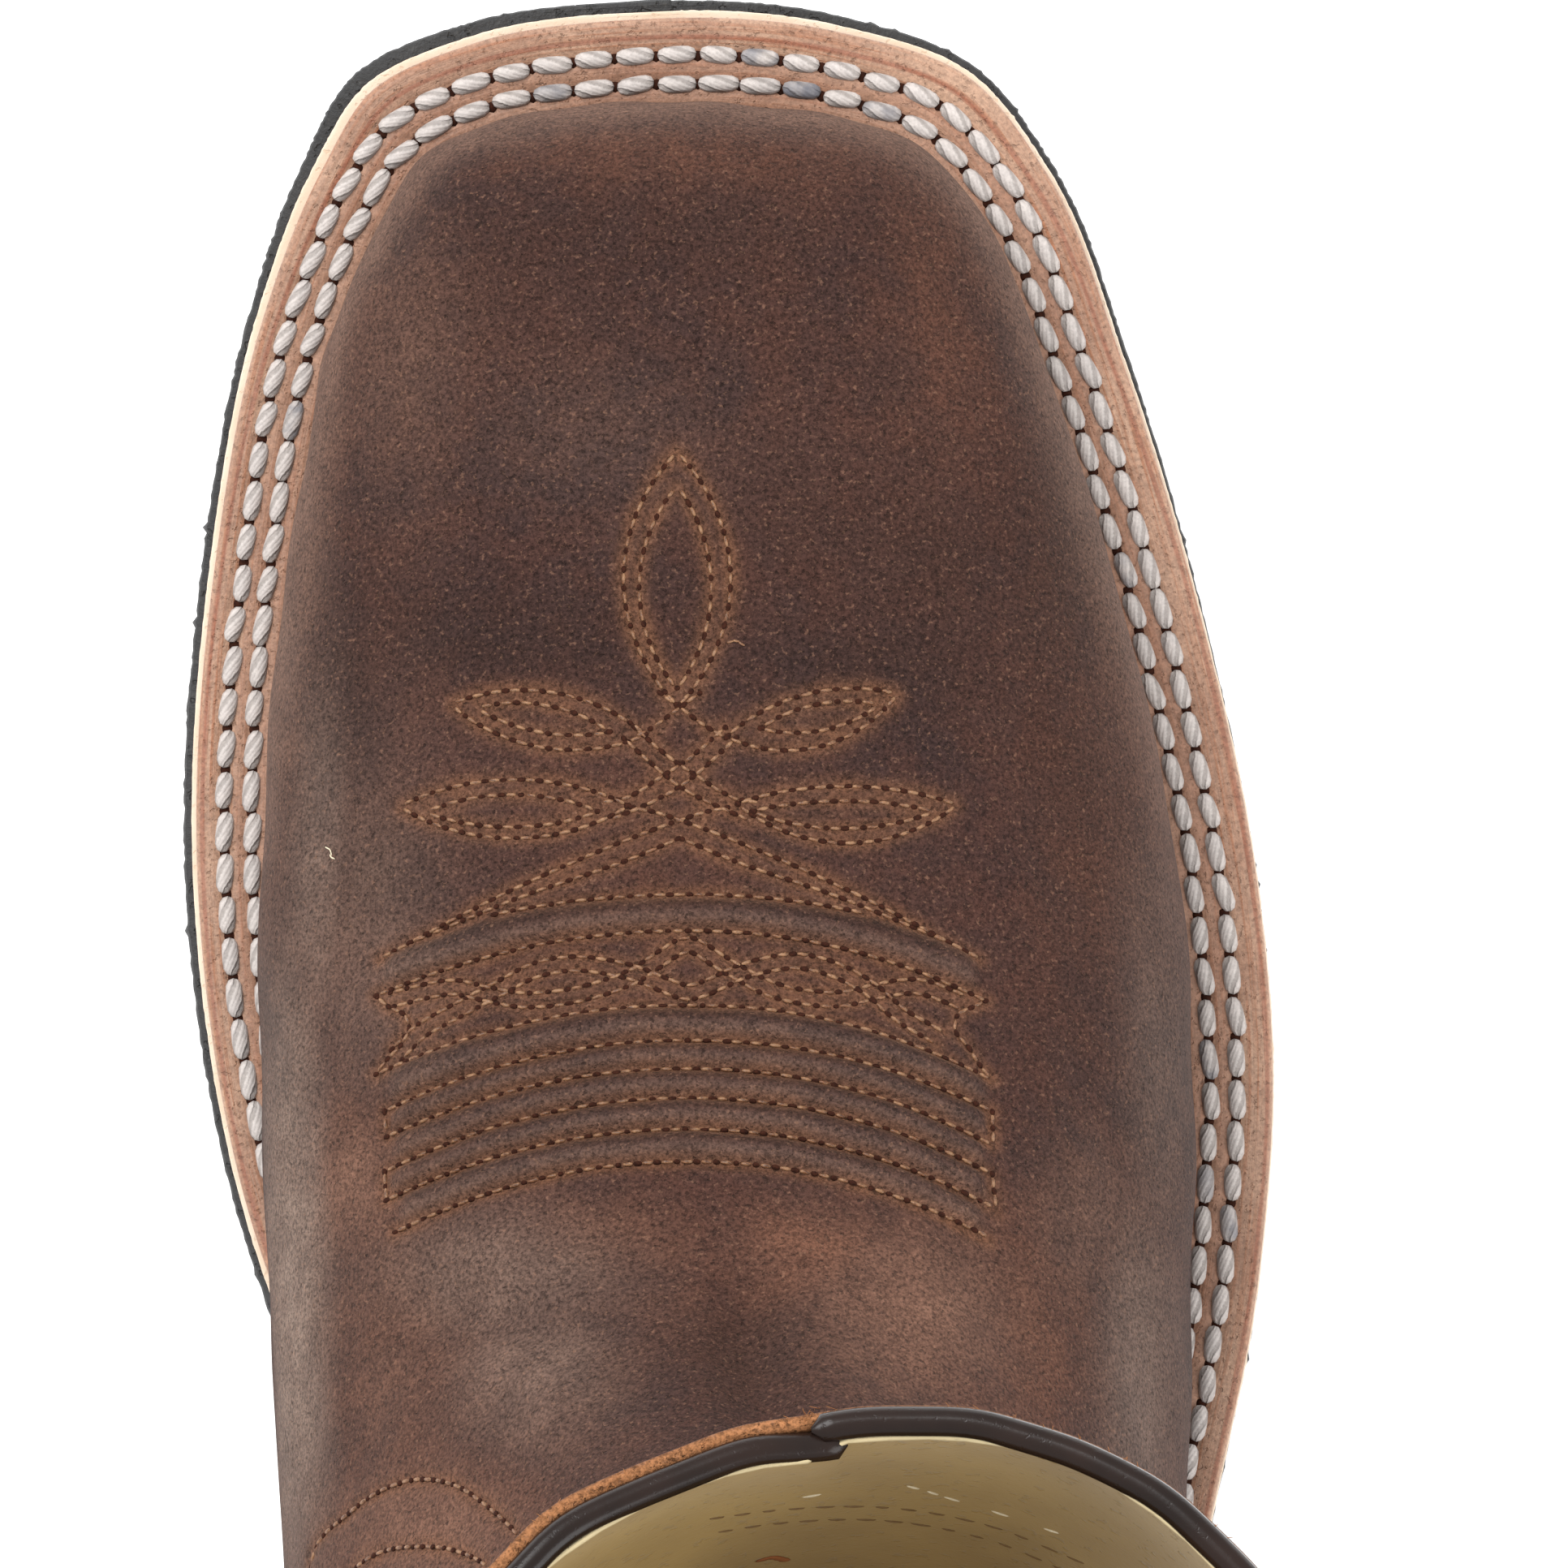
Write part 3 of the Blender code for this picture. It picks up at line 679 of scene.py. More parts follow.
# %% Shader groups
def new_group(name, inputs):
    """A shader group with value inputs, and the sockets that they come in by."""
    tree = bpy.data.node_groups.new(name, "ShaderNodeTree")
    for key, value in inputs.items():
        socket = tree.interface.new_socket(key, in_out="INPUT", socket_type="NodeSocketFloat")
        socket.default_value = value
    return tree, node(tree, "NodeGroupInput", {}).outputs


def close_group(tree, results):
    """Gives a shader group its value outputs."""
    for key in results:
        tree.interface.new_socket(key, in_out="OUTPUT", socket_type="NodeSocketFloat")
    node(tree, "NodeGroupOutput", results)
    print("group", tree.name, len(tree.nodes), "nodes")


# %% Finish
class Finish:
    """A material in the making, with the colour that has been laid on it so far.

    Constants go to the shader's own sockets. Underscores in their names stand for spaces.
    """

    def __init__(self, name, ground, **values):
        self.material = bpy.data.materials.new(name)
        self.material.use_nodes = True
        self.tree = self.material.node_tree
        self.shader = self.tree.nodes["Principled BSDF"]
        self.colour = ground
        for key, value in values.items():
            self.shader.inputs[key.replace("_", " ")].default_value = value

    def use(self, group, **values):
        """Outputs of a shader group placed in this material."""
        return node(self.tree, "ShaderNodeGroup", values, node_tree=group).outputs

    def lay(self, over, share, amount=1.0):
        """Lays a colour over those before it, as far as a share times an amount says."""
        if amount != 1.0:
            share = times(self.tree, share, amount)
        inputs = {0: share, 6: self.colour, 7: over}
        self.colour = node(self.tree, "ShaderNodeMix", inputs, data_type="RGBA").outputs[2]

    def shade(self, share, least, most):
        """Makes the colour from least to most times as bright as a share goes from 0 to 1."""
        factor = plus(self.tree, times(self.tree, share, most - least), least)
        inputs = {0: self.colour, "Scale": factor}
        self.colour = node(self.tree, "ShaderNodeVectorMath", inputs, operation="SCALE").outputs[0]

    def close(self, height=None, distance_mm=0.0, strength=1.0):
        """Hands the colour to the shader, with a bump where a height is given."""
        feed(self.tree, self.shader.inputs["Base Color"], self.colour)
        if height is not None:
            inputs = {"Height": height, "Distance": distance_mm * MM, "Strength": strength}
            raised = node(self.tree, "ShaderNodeBump", inputs).outputs[0]
            feed(self.tree, self.shader.inputs["Normal"], raised)
        return self.material


def two_tone(name, under, over, group, share, sizes, **values):
    """A plain finish of two colours, mixed by one output of a group."""
    finish = Finish(name, paint(*under), **values)
    finish.lay(paint(*over), finish.use(group, **sizes)[share])
    return finish.close()


# %% [markdown]
# ## Nap, pits and mottling
# Nubuck is leather sanded on its grain side. Close up it shows light specks where fibres stand up,
# dark pits where pores were, and soft cloudy patches where the oil has pulled up. The same three
# effects, at other sizes, serve the welt, the lining and the soles, so they are one shader group.

# %% Shared group: nap
nap_group, entry = new_group("nap", {"Scale": 1500.0, "Cloud": 45.0})
place = own_place(nap_group)
fine = noise(nap_group, place, entry["Scale"], 3.0, 0.7)
cloud = noise(nap_group, place, entry["Cloud"], 3.0, 0.55)
patches = noise(nap_group, place, times(nap_group, entry["Cloud"], 5.0), 3.0, 0.6)
specks = noise(nap_group, place, times(nap_group, entry["Scale"], 0.8), 2.0, 0.6)
pores = noise(nap_group, place, times(nap_group, entry["Scale"], 0.7), 2.0, 0.6)
pit = ramp(nap_group, pores, 0.42, 0.3)
close_group(nap_group, {
    "Grain": ramp(nap_group, fine, 0.3, 0.7), "Speck": ramp(nap_group, specks, 0.56, 0.76), "Pit": pit,
    "Mottle": ramp(nap_group, cloud, 0.33, 0.67), "Patch": ramp(nap_group, patches, 0.38, 0.66),
    "Height": math_node(nap_group, "SUBTRACT", fine, pit)})

# %% [markdown]
# ## The smooth upper
# First the leather is laid over the last without any creases. The ray of sight through a charted
# stitch then says where that stitch sits on the leather.

# %% Smooth skin
STEP_COLUMNS = "until spacing"
SKIN_STEPS = table(STEP_COLUMNS, (88.0, 0.85), (138.0, 0.42), (190.0, 1.4), (297.0, 3.0))
SKIN_COLUMNS = 112
SKIN_SPOKES = 104
SKIN_SHAFT_ROWS = 74


def skin_sheet(columns, spokes, steps, shaft_rows):
    """A sheet over the last, with the lines of points round its collar and its feather edge."""
    heel = LINES[-1][0][-1]
    corner = corner_place(heel)
    toe = toe_spokes(spokes, columns)
    rows = open_rows(steps, columns, corner)
    sheet = Sheet()
    pole = sheet.add(stand(toe[0][-1:]))
    spoke_lines = [np.append(sheet.add(stand(spoke[:-1])), pole) for spoke in toe]
    lines = [np.append(spoke_lines[0], spoke_lines[-1][::-1][1:])]
    lines += [sheet.add(stand(row)) for row in rows[1:]]
    for row in closed_rows(shaft_rows, columns, corner, heel):
        ring = sheet.add(stand(row[:-1]))
        lines.append(np.append(ring, ring[0]))
    for spoke, following in zip(spoke_lines, spoke_lines[1:]):
        sheet.strip(following, spoke)
    for line, following in zip(lines, lines[1:]):
        sheet.strip(line, following)
    count = len(rows)
    feather = [line[0] for line in lines[count::-1]]
    feather += [spoke[0] for spoke in spoke_lines[1:-1]]
    feather += [line[-1] for line in lines[:count]]
    return sheet, lines[-1][:-1], np.array(feather)


skin, collar, feather = skin_sheet(SKIN_COLUMNS, SKIN_SPOKES, SKIN_STEPS, SKIN_SHAFT_ROWS)
skin_normals = point_normals(skin.points, skin.corners())
smooth_tree = surface_tree(skin)
print("skin", len(skin.points), "points,", len(skin.corners()), "faces")

# %% [markdown]
# ## The toe stitch
# Western boots carry a stitched ornament on the toe: leaves round a crossing of strands, a double
# roof line, a wavy band and rows of arcs that raise cords in the leather. Each family of lines is a
# rule with a short table: a leaf is a chord with two swells, an arc is a power curve with its drop at
# either end, and a wave is a smooth line through its turning points, sewn twice.

# %% Leaves and arcs
LINE_STEP = 0.35
LEAF_ROUNDNESS = 0.9
ARC_CENTRE = 0.4
ARC_POWER = 2.1

LEAVES = table(
    "name base_right base_back tip_right tip_back left_hand right_hand",
    ("centre outer", -0.8, -7.4, -0.9, -34.1, 5.7, 5.6),
    ("centre inner", -0.9, -9.2, -0.9, -30.5, 4.0, 3.6),
    ("upper left outer", -4.3, -4.3, -24.7, -7.5, 3.0, 2.9),
    ("upper left inner", -8.1, -4.6, -22.0, -7.1, 1.3, 1.6),
    ("upper right outer", 4.4, -4.1, 22.3, -8.6, 2.3, 3.4),
    ("upper right inner", 8.0, -5.0, 20.4, -7.5, 1.3, 1.5),
    ("lower left outer", -6.1, 3.2, -30.1, 3.3, 3.4, 2.8),
    ("lower left inner", -9.3, 3.8, -27.4, 3.9, 1.6, 1.8),
    ("lower right outer", 5.5, 3.0, 28.6, 3.1, 1.9, 4.1),
    ("lower right inner", 7.1, 3.8, 26.2, 3.8, 1.1, 1.8),
)
ARC_COLUMNS = "name apex left left_drop right right_drop"
ARCS = table(
    ARC_COLUMNS,
    ("under the roof", 12.6, -20.2, 2.1, 19.1, 2.0),
    ("band top", 16.4, -32.7, 6.9, 31.9, 7.5),
    ("band foot", 24.3, -32.7, 7.3, 32.4, 7.9),
    ("cord 1", 28.0, -31.8, 7.5, 32.4, 7.5),
    ("cord 2", 31.0, -31.6, 7.2, 32.5, 8.1),
    ("cord 3", 34.1, -31.8, 7.8, 32.4, 8.0),
    ("cord 4", 37.4, -31.6, 7.5, 32.8, 8.4),
    ("cord 5", 40.8, -30.7, 7.5, 32.2, 8.1),
)


def leaf_lines(leaf):
    """Both sides of a leaf, from its base to its tip."""
    base = np.array([leaf.base_right, leaf.base_back])
    chord = np.array([leaf.tip_right, leaf.tip_back]) - base
    left = np.array([chord[1], -chord[0]]) / np.linalg.norm(chord)
    share = np.linspace(0.0, 1.0, int(np.linalg.norm(chord) / LINE_STEP))[:, None]
    swell = (4 * share * (1 - share)) ** LEAF_ROUNDNESS
    return [base + share * chord + swell * leaf.left_hand * left,
            base + share * chord - swell * leaf.right_hand * left]


def arc_back(arc, right):
    """How far back the arc lies at a place to the right."""
    side = np.where(right < ARC_CENTRE, arc.left - ARC_CENTRE, arc.right - ARC_CENTRE)
    drop = np.where(right < ARC_CENTRE, arc.left_drop, arc.right_drop)
    return arc.apex + drop * np.abs((right - ARC_CENTRE) / side) ** ARC_POWER


def arc_line(arc):
    """An arc from its left to its right end."""
    right = np.linspace(arc.left, arc.right, int((arc.right - arc.left) / LINE_STEP))
    return np.stack([right, arc_back(arc, right)], 1)


chart_lines = [line for leaf in LEAVES for line in leaf_lines(leaf)]
print(len(chart_lines), "leaf lines,", len(ARCS), "arcs")

# %% Strands, waves and ends
MIRROR = -0.6
WAVE_HALF_GAP = 0.75

# Strands on the left that have a twin on the right
TWINS = [
    [(-2.7, -8.7), (-0.9, -7.4), (2.6, -4.9), (4.4, -3.9)],
    [(-5.4, -5.1), (-2.2, -2.3), (1.6, 0.3), (5.2, 2.4), (8.0, 2.9)],
    [(-6.5, -3.9), (-3.9, -1.5), (-0.4, 1.3), (3.9, 3.5), (7.0, 4.8)],
    [(4.4, 3.4), (1.6, 4.0), (-1.4, 5.0), (-5.4, 6.5), (-17.9, 11.9), (-32.4, 19.4)],
    [(-0.8, 6.7), (-5.0, 8.5), (-17.8, 13.0), (-28.9, 17.6)],
]
WAVES = [
    [(-30.5, 29.5), (-28.2, 27.2), (-24.4, 25.0), (-19.5, 22.4), (-15.9, 20.6), (-11.8, 19.9),
     (-8.6, 20.2), (-5.1, 21.0), (-2.6, 22.0), (0.3, 22.9), (3.2, 22.0), (5.5, 20.9), (8.6, 20.0),
     (11.5, 19.6), (15.4, 20.4), (19.4, 22.5), (22.7, 25.3), (27.0, 27.8)],
    [(-31.0, 23.7), (-27.9, 22.9), (-24.4, 22.4), (-21.0, 23.1), (-17.6, 23.7), (-13.3, 23.5),
     (-9.2, 22.6), (-5.1, 21.0), (-3.0, 19.6), (0.3, 17.9), (3.5, 19.6), (5.5, 20.8), (8.6, 22.4),
     (12.4, 23.4), (16.7, 23.6), (20.2, 22.8), (24.4, 22.3), (29.5, 24.0)],
]
# Ends of the band and of the cords
NOTCHES = [
    [(-32.6, 23.4), (-31.3, 24.5), (-29.7, 25.3), (-29.2, 26.6), (-29.9, 28.3), (-31.6, 30.1), (-32.7, 31.6)],
    [(31.7, 23.8), (30.5, 24.4), (28.7, 25.4), (28.5, 27.0), (29.8, 28.6), (31.0, 30.5), (32.4, 32.2)],
    [(-31.8, 35.5), (-31.6, 38.2)],
    [(-31.8, 41.9), (-31.6, 44.9)],
    [(32.4, 35.5), (32.5, 39.1)],
    [(32.4, 42.1), (32.8, 45.8)],
]
# The tip of a stitched motif shows on the inner side of the ankle
SIDE_ARCH = [
    [(-39.6, 83.5), (-39.0, 81.5), (-35.6, 78.0), (-32.2, 75.6), (-28.3, 74.4), (-24.4, 75.0),
     (-21.0, 77.2), (-17.6, 80.4), (-15.0, 84.0)],
    [(-36.6, 86.0), (-34.7, 83.6), (-32.2, 82.1), (-28.3, 81.5), (-24.4, 81.9), (-21.0, 83.6),
     (-19.4, 86.0)],
]


def drawn(knots):
    """A smooth line through its knots, sampled at LINE_STEP."""
    knots = np.array(knots)
    run = run_along(knots)
    at = np.linspace(0.0, run[-1], max(2, int(run[-1] / LINE_STEP)))
    if len(knots) == 2:
        return read_off(at, run, knots)
    return np.stack([smooth(run, column, at) for column in knots.T], 1)


def sewn_twice(line):
    """Two lines beside a line."""
    run = np.gradient(line, axis=0)
    aside = unit(np.stack([-run[:, 1], run[:, 0]], 1))
    return [line + WAVE_HALF_GAP * aside, line - WAVE_HALF_GAP * aside]


for knots in TWINS:
    chart_lines.append(drawn(knots))
    chart_lines.append(drawn([(2 * MIRROR - right, back) for right, back in knots]))
chart_lines += [arc_line(arc) for arc in ARCS]
for knots in WAVES:
    chart_lines += sewn_twice(drawn(knots))
chart_lines += [drawn(knots) for knots in NOTCHES + SIDE_ARCH]
print(len(chart_lines), "chart lines")


# %% Lines laid on the leather
def laid(line, tree):
    """A chart line on the leather: points and normals where the sight lines meet its outer face."""
    points = []
    normals = []
    for right, back in line:
        ray = sight_ray(right, back)
        hit, normal, _, _ = tree.ray_cast(CAMERA_PLACE, ray)
        if hit is not None and normal.dot(ray) < 0:
            points.append(hit)
            normals.append(normal)
    return np.array(points), np.array(normals)


laid_lines = [laid(line, smooth_tree)[0] for line in chart_lines]
laid_points = np.vstack([points for points in laid_lines if len(points)])
print("sewn length", round(len(laid_points) * LINE_STEP), "mm")

# %% [markdown]
# ## Grooves, cords and creases
# Sewing pulls the leather down into a groove, and the rows of arcs press it up into rounded cords.
# A few creases come from the way the boot was lasted and handled: they are placed as soft
# troughs and ridges. All of it moves the points of the skin along their normals, so the shape is real.

# %% Grooves
GROOVE_DEPTH = 0.42
GROOVE_WIDTH = 0.62
HALO_WIDTH = 0.92
SEWN_REACH = 8.0
CHART_REACH = 178.0
CHART_FADE = 24.0
LEAST_FACING = 0.05
FACING_FADE = 0.15


def search_tree(points):
    """A tree that finds the nearest of the points."""
    tree = KDTree(len(points))
    for number, point in enumerate(points):
        tree.insert(point, number)
    tree.balance()
    return tree


chart_right, chart_back = charted(skin.points)
facing = (skin_normals * unit(np.array(CAMERA_PLACE) - skin.points)).sum(1)
in_front = (facing > LEAST_FACING) & (skin.points[:, 1] > SOLE_LENGTH / 2 - CHART_REACH)
chart_end = (skin.points[:, 1] - SOLE_LENGTH / 2 + CHART_REACH) / CHART_FADE
seen_share = np.where(in_front, eased(facing / FACING_FADE) * eased(chart_end), 0.0)

sewn = search_tree(laid_points)
from_seam = np.full(len(skin.points), SEWN_REACH)
for number in np.nonzero(in_front)[0]:
    from_seam[number] = min(sewn.find(skin.points[number])[2], SEWN_REACH)
lift = -GROOVE_DEPTH * np.exp(-(from_seam / GROOVE_WIDTH) ** 2)
seam_halo = np.exp(-(from_seam / HALO_WIDTH) ** 2)
print("deepest groove", round(lift.min(), 2), "mm")

# %% Cords
CORD_END_FADE = 2.5
CORD_ROUNDNESS = 0.8
# Where a cord's painted highlight begins and fades in, and where its painted shade ends and fades out
HIGHLIGHT_START = 0.3
HIGHLIGHT_FADE = 0.45
SHADE_END = 0.55
SHADE_FADE = 0.3

# A cord lies between two neighbouring lines. The front line of the wide cord is none of the arcs.
CORD_EDGES = table(ARC_COLUMNS, ("front of the wide cord", 12.6, -32.4, 6.6, 31.5, 6.3)) + ARCS[1:]
CORDS = table(
    "front back height", (0, 1, 1.0), (2, 3, 1.0), (3, 4, 0.85), (4, 5, 0.85), (5, 6, 0.9), (6, 7, 0.9))

# The cords' colour: a pale painted highlight on the back half of each cord's top, and painted shade on its
# front half
cord_painted_highlight = np.zeros(len(skin.points))
cord_shade = np.zeros(len(skin.points))
for cord in CORDS:
    front = CORD_EDGES[cord.front]
    back = CORD_EDGES[cord.back]
    near = arc_back(front, chart_right)
    share = (chart_back - near) / (arc_back(back, chart_right) - near)
    inside = in_front & (share > 0) & (share < 1)
    from_left = (chart_right - max(front.left, back.left)) / CORD_END_FADE
    from_right = (min(front.right, back.right) - chart_right) / CORD_END_FADE
    ends = eased(from_left) * eased(from_right)
    round_top = np.sin(math.pi * np.clip(share, 0, 1)) ** CORD_ROUNDNESS * ends
    bloom = round_top * eased((share - HIGHLIGHT_START) / HIGHLIGHT_FADE)
    shade = ends * eased((SHADE_END - share) / SHADE_FADE)
    lift += np.where(inside, cord.height * round_top, 0.0)
    cord_painted_highlight = np.maximum(cord_painted_highlight, np.where(inside, bloom, 0.0))
    cord_shade = np.maximum(cord_shade, np.where(inside, shade, 0.0))
print("deepest", round(lift.min(), 2), "highest", round(lift.max(), 2), "mm")

# %% Creases
CREASES = table(
    "name right back to_right to_back width height",
    ("fold edge", 13.0, 52.0, 15.5, 66.0, 4.6, 0.9),
    ("fold trough", 6.0, 56.0, 8.5, 68.0, 4.0, -1.7),
    ("inner wave", -20.0, 50.0, -12.0, 54.0, 4.0, 0.9),
    ("inner trough", -26.0, 57.0, -14.0, 59.0, 3.6, -0.9),
    ("inner swell", -18.0, 63.0, -12.0, 70.0, 4.2, 0.9),
    ("outer swell", 22.0, 52.0, 27.0, 60.0, 5.0, 0.5),
    ("outer dip", 30.0, 46.0, 35.0, 58.0, 4.0, -0.5),
    ("toe dent left", -30.0, -16.0, -33.0, -2.0, 4.0, -0.35),
    ("toe swell", -14.0, -20.0, 12.0, -21.0, 8.0, 0.3),
)
for fold in CREASES:
    start = np.array([fold.right, fold.back])
    run = np.array([fold.to_right, fold.to_back]) - start
    where = np.stack([chart_right, chart_back], 1) - start
    share = np.clip(where @ run / (run @ run), 0, 1)
    away = np.linalg.norm(where - share[:, None] * run, axis=1)
    lift += seen_share * fold.height * np.exp(-(away / fold.width) ** 2)

# Soft folds of the shaft: height up the boot, turn round it from the front, and their size
SHAFT_FOLDS = table(
    "name up turn wide tall height slope",
    ("ankle inner", 128.0, -1.35, 0.75, 7.0, -1.0, 9.0),
    ("ankle inner ridge", 142.0, -1.3, 0.7, 7.5, 0.8, 8.0),
    ("ankle outer", 126.0, 1.4, 0.7, 7.5, -1.0, -9.0),
    ("ankle outer ridge", 141.0, 1.45, 0.75, 8.0, 0.8, -8.0),
    ("back low", 112.0, 3.0, 0.55, 8.0, -0.7, 0.0),
    ("shaft inner", 205.0, -1.7, 0.6, 26.0, -0.9, 20.0),
    ("shaft outer", 215.0, 1.8, 0.6, 28.0, -0.9, -16.0),
)
SHAFT_MIDDLE = np.array([2.0, SOLE_LENGTH / 2 - 222.0])


def turn_round_shaft(points):
    """Angle of points round the shaft's middle, 0 in front and positive on the outer side."""
    return np.arctan2(points[:, 0] - SHAFT_MIDDLE[0], points[:, 1] - SHAFT_MIDDLE[1])


skin_turn = turn_round_shaft(skin.points)
for fold in SHAFT_FOLDS:
    turn_away = np.angle(np.exp(1j * (skin_turn - fold.turn)))
    up_away = skin.points[:, 2] - fold.up - fold.slope * turn_away
    lift += fold.height * np.exp(-(turn_away / fold.wide) ** 2 - (up_away / fold.tall) ** 2)
print("after creases", round(lift.min(), 2), round(lift.max(), 2), "mm")

# %% [markdown]
# ## Soft unevenness
# Leather is never quite even. A few slow waves in all directions, with lengths and phases from a seeded
# generator, give it a slight unrest. It fades out at the welt so that nothing gapes there.

# %% Unevenness
UNREST = 0.16
UNREST_WAVES = 14
UNREST_LENGTHS = (9.0, 34.0)
FEATHER_FADE = 6.0

rng = np.random.default_rng(31)
unrest = np.zeros(len(skin.points))
for _ in range(UNREST_WAVES):
    heading = rng.normal(size=3)
    heading /= np.linalg.norm(heading)
    length = rng.uniform(*UNREST_LENGTHS)
    unrest += np.sin(skin.points @ heading * 2 * math.pi / length + rng.uniform(0, 2 * math.pi))
above_welt = skin.points[:, 2] - crease(SOLE_LENGTH / 2 - skin.points[:, 1])
lift += UNREST * unrest / math.sqrt(UNREST_WAVES / 2)
lift *= eased(above_welt / FEATHER_FADE)
skin.points = skin.points + lift[:, None] * skin_normals
formed_tree = surface_tree(skin)
print("formed", round(lift.min(), 2), "to", round(lift.max(), 2), "mm")

# %% [markdown]
# ## Cloudy tones of the leather
# The boot shows a warm rim at the toe, a darker belt across the toe box and lighter leather on the
# instep, with grey painted sheen in it. These are wide, soft clouds, placed on the chart. The steep walls
# of the toe get a warm, grey painted sheen, and the fronts of the cords painted shade. All of it is stored
# as three values a point: how warm, how deep and how grey the leather is there.

# %% Tones
# Most grey values here are painted sheen, on the flanks, the toe box and the instep. The deep values of the
# three fold clouds are painted shade in the instep's crease.
TONES = table(
    "name right back wide long warm deep grey",
    ("toe rim", 0.0, -66.0, 30.0, 4.5, 0.45, 0.0, 0.0),
    ("toe front", -6.0, -58.0, 24.0, 7.0, 0.0, 0.3, 0.0),
    ("toe outer", 27.0, -50.0, 8.0, 18.0, 0.35, 0.0, 0.0),
    ("toe inner sheen", -30.0, -44.0, 7.0, 16.0, 0.25, 0.0, 0.15),
    ("toe box sheen", -10.0, -36.0, 14.0, 8.0, 0.0, 0.0, 0.1),
    ("belt inner", -20.0, -15.0, 16.0, 6.0, 0.0, 0.55, 0.0),
    ("belt middle", 2.0, -14.0, 16.0, 7.0, 0.0, 0.2, 0.0),
    ("belt outer", 20.0, -12.0, 14.0, 7.0, 0.0, 0.45, 0.0),
    ("inner edge", -36.0, -10.0, 4.0, 12.0, 0.0, 0.5, 0.0),
    ("beside the leaves", -33.0, 10.0, 6.0, 6.0, 0.0, 0.4, 0.0),
    ("outer flank", 42.0, 6.0, 6.0, 26.0, 0.2, 0.15, 0.0),
    ("outer flank front", 41.0, -1.0, 5.0, 8.0, 0.0, 0.3, 0.0),
    ("toe box outer", 26.0, -23.0, 12.0, 8.0, 0.0, 0.38, 0.0),
    ("beside the middle leaf", 12.0, -27.0, 8.0, 6.0, 0.0, 0.25, 0.0),
    ("ornament", 0.0, 14.0, 20.0, 14.0, 0.2, 0.0, 0.0),
    ("outer flank deep", 39.0, -22.0, 7.0, 18.0, 0.2, 0.4, 0.0),
    ("instep outer", 24.0, 57.0, 11.0, 9.0, 1.0, 0.0, 0.27),
    ("instep middle", 13.0, 50.5, 9.0, 5.5, 1.0, 0.0, 0.08),
    ("outer flank middle", 43.0, 47.0, 6.0, 9.0, 0.4, 0.0, 0.2),
    ("inner side back", -35.5, 43.0, 5.5, 8.0, 0.9, 0.0, 0.25),
    ("fold", 6.0, 60.5, 8.0, 6.5, 0.3, 0.58, 0.0),
    ("fold front", 1.0, 56.0, 6.0, 4.0, 0.3, 0.2, 0.0),
    ("fold inner end", -8.0, 63.0, 5.0, 4.0, 0.3, 0.2, 0.12),
    ("behind the cords", -8.0, 48.5, 12.0, 4.5, 0.5, 0.15, 0.0),
    ("inner flank", -41.5, 54.0, 3.6, 34.0, 0.0, 0.0, 1.0),
    ("inner side", -34.0, 17.0, 9.0, 20.0, 0.2, 0.0, 0.28),
    ("inner flank front", -39.0, 10.0, 3.5, 20.0, 0.0, 0.0, 0.5),
    ("outer flank bloom", 50.0, 30.0, 4.0, 26.0, 0.0, 0.0, 0.3),
    ("outer flank back", 48.0, 63.0, 4.0, 17.0, 0.0, 0.0, 0.6),
    ("outer instep", 36.0, 60.0, 8.0, 18.0, 0.55, 0.0, 0.0),
    ("instep inner sheen", -20.0, 53.0, 13.0, 7.0, 0.35, 0.0, 0.5),
    ("instep inner swell", -16.0, 63.0, 9.0, 9.0, 0.35, 0.0, 0.45),
    ("instep inner warm", -31.0, 62.0, 9.0, 14.0, 0.55, 0.0, 0.12),
    ("side arch", -27.0, 81.0, 11.0, 9.0, 1.0, 0.0, 0.22),
)
# How much of the cords' painted shade goes into the deep tone
CORD_DEEP = 0.8
# The walls of the toe: how steep the leather is there, how far back they go, and how warm and grey a painted
# sheen they get
WALL_TURN = 0.78
WALL_SOFT = 0.5
WALL_END = 112.0
WALL_FADE = 44.0
WALL_WARM_SHEEN = 0.62
WALL_GREY_SHEEN = 0.33

tones = np.zeros((len(skin.points), 3))
for tone in TONES:
    from_right = (chart_right - tone.right) / tone.wide
    from_back = (chart_back - tone.back) / tone.long
    share = np.exp(-from_right ** 2 - from_back ** 2) * seen_share
    tones = np.maximum(tones, share[:, None] * np.array([tone.warm, tone.deep, tone.grey]))
toe_wall_sheen = eased((WALL_TURN - skin_normals[:, 2]) / WALL_SOFT)
toe_wall_sheen *= eased((WALL_END - SOLE_LENGTH / 2 + skin.points[:, 1]) / WALL_FADE)
# The steep walls of the toe get warm and grey painted sheen, and the fronts of the cords painted shade
painted_light = np.stack([WALL_WARM_SHEEN * toe_wall_sheen, CORD_DEEP * cord_shade, WALL_GREY_SHEEN * toe_wall_sheen], 1)
tones = np.maximum(tones, painted_light)
print("tones", tones.max(0).round(2))

# %% [markdown]
# ## Collar edge and foot of the upper
# At the collar the outer leather ends in a raw, orange-brown cut edge about 1.3 mm thick. The edge is
# a few more lines that turn over the rim and down the inside. At the foot the leather goes on down
# behind the welt.

# %% Rim of the upper
RIM = table(
    "out up raw", (-0.05, 0.3, 0.6), (-0.35, 0.52, 1.0), (-0.95, 0.52, 1.0), (-1.3, 0.25, 1.0),
    (-1.6, -0.3, 1.0), (-1.8, -4.0, 1.0))


def level_normals(ring):
    """Outward directions of a closed level line that runs clockwise seen from above or the other way."""
    run = np.roll(ring, -1, axis=0) - np.roll(ring, 1, axis=0)
    out = unit(np.stack([run[:, 1], -run[:, 0], np.zeros(len(ring))], 1))
    middle = ring.mean(0)
    return out if ((ring - middle) * out).sum() > 0 else -out


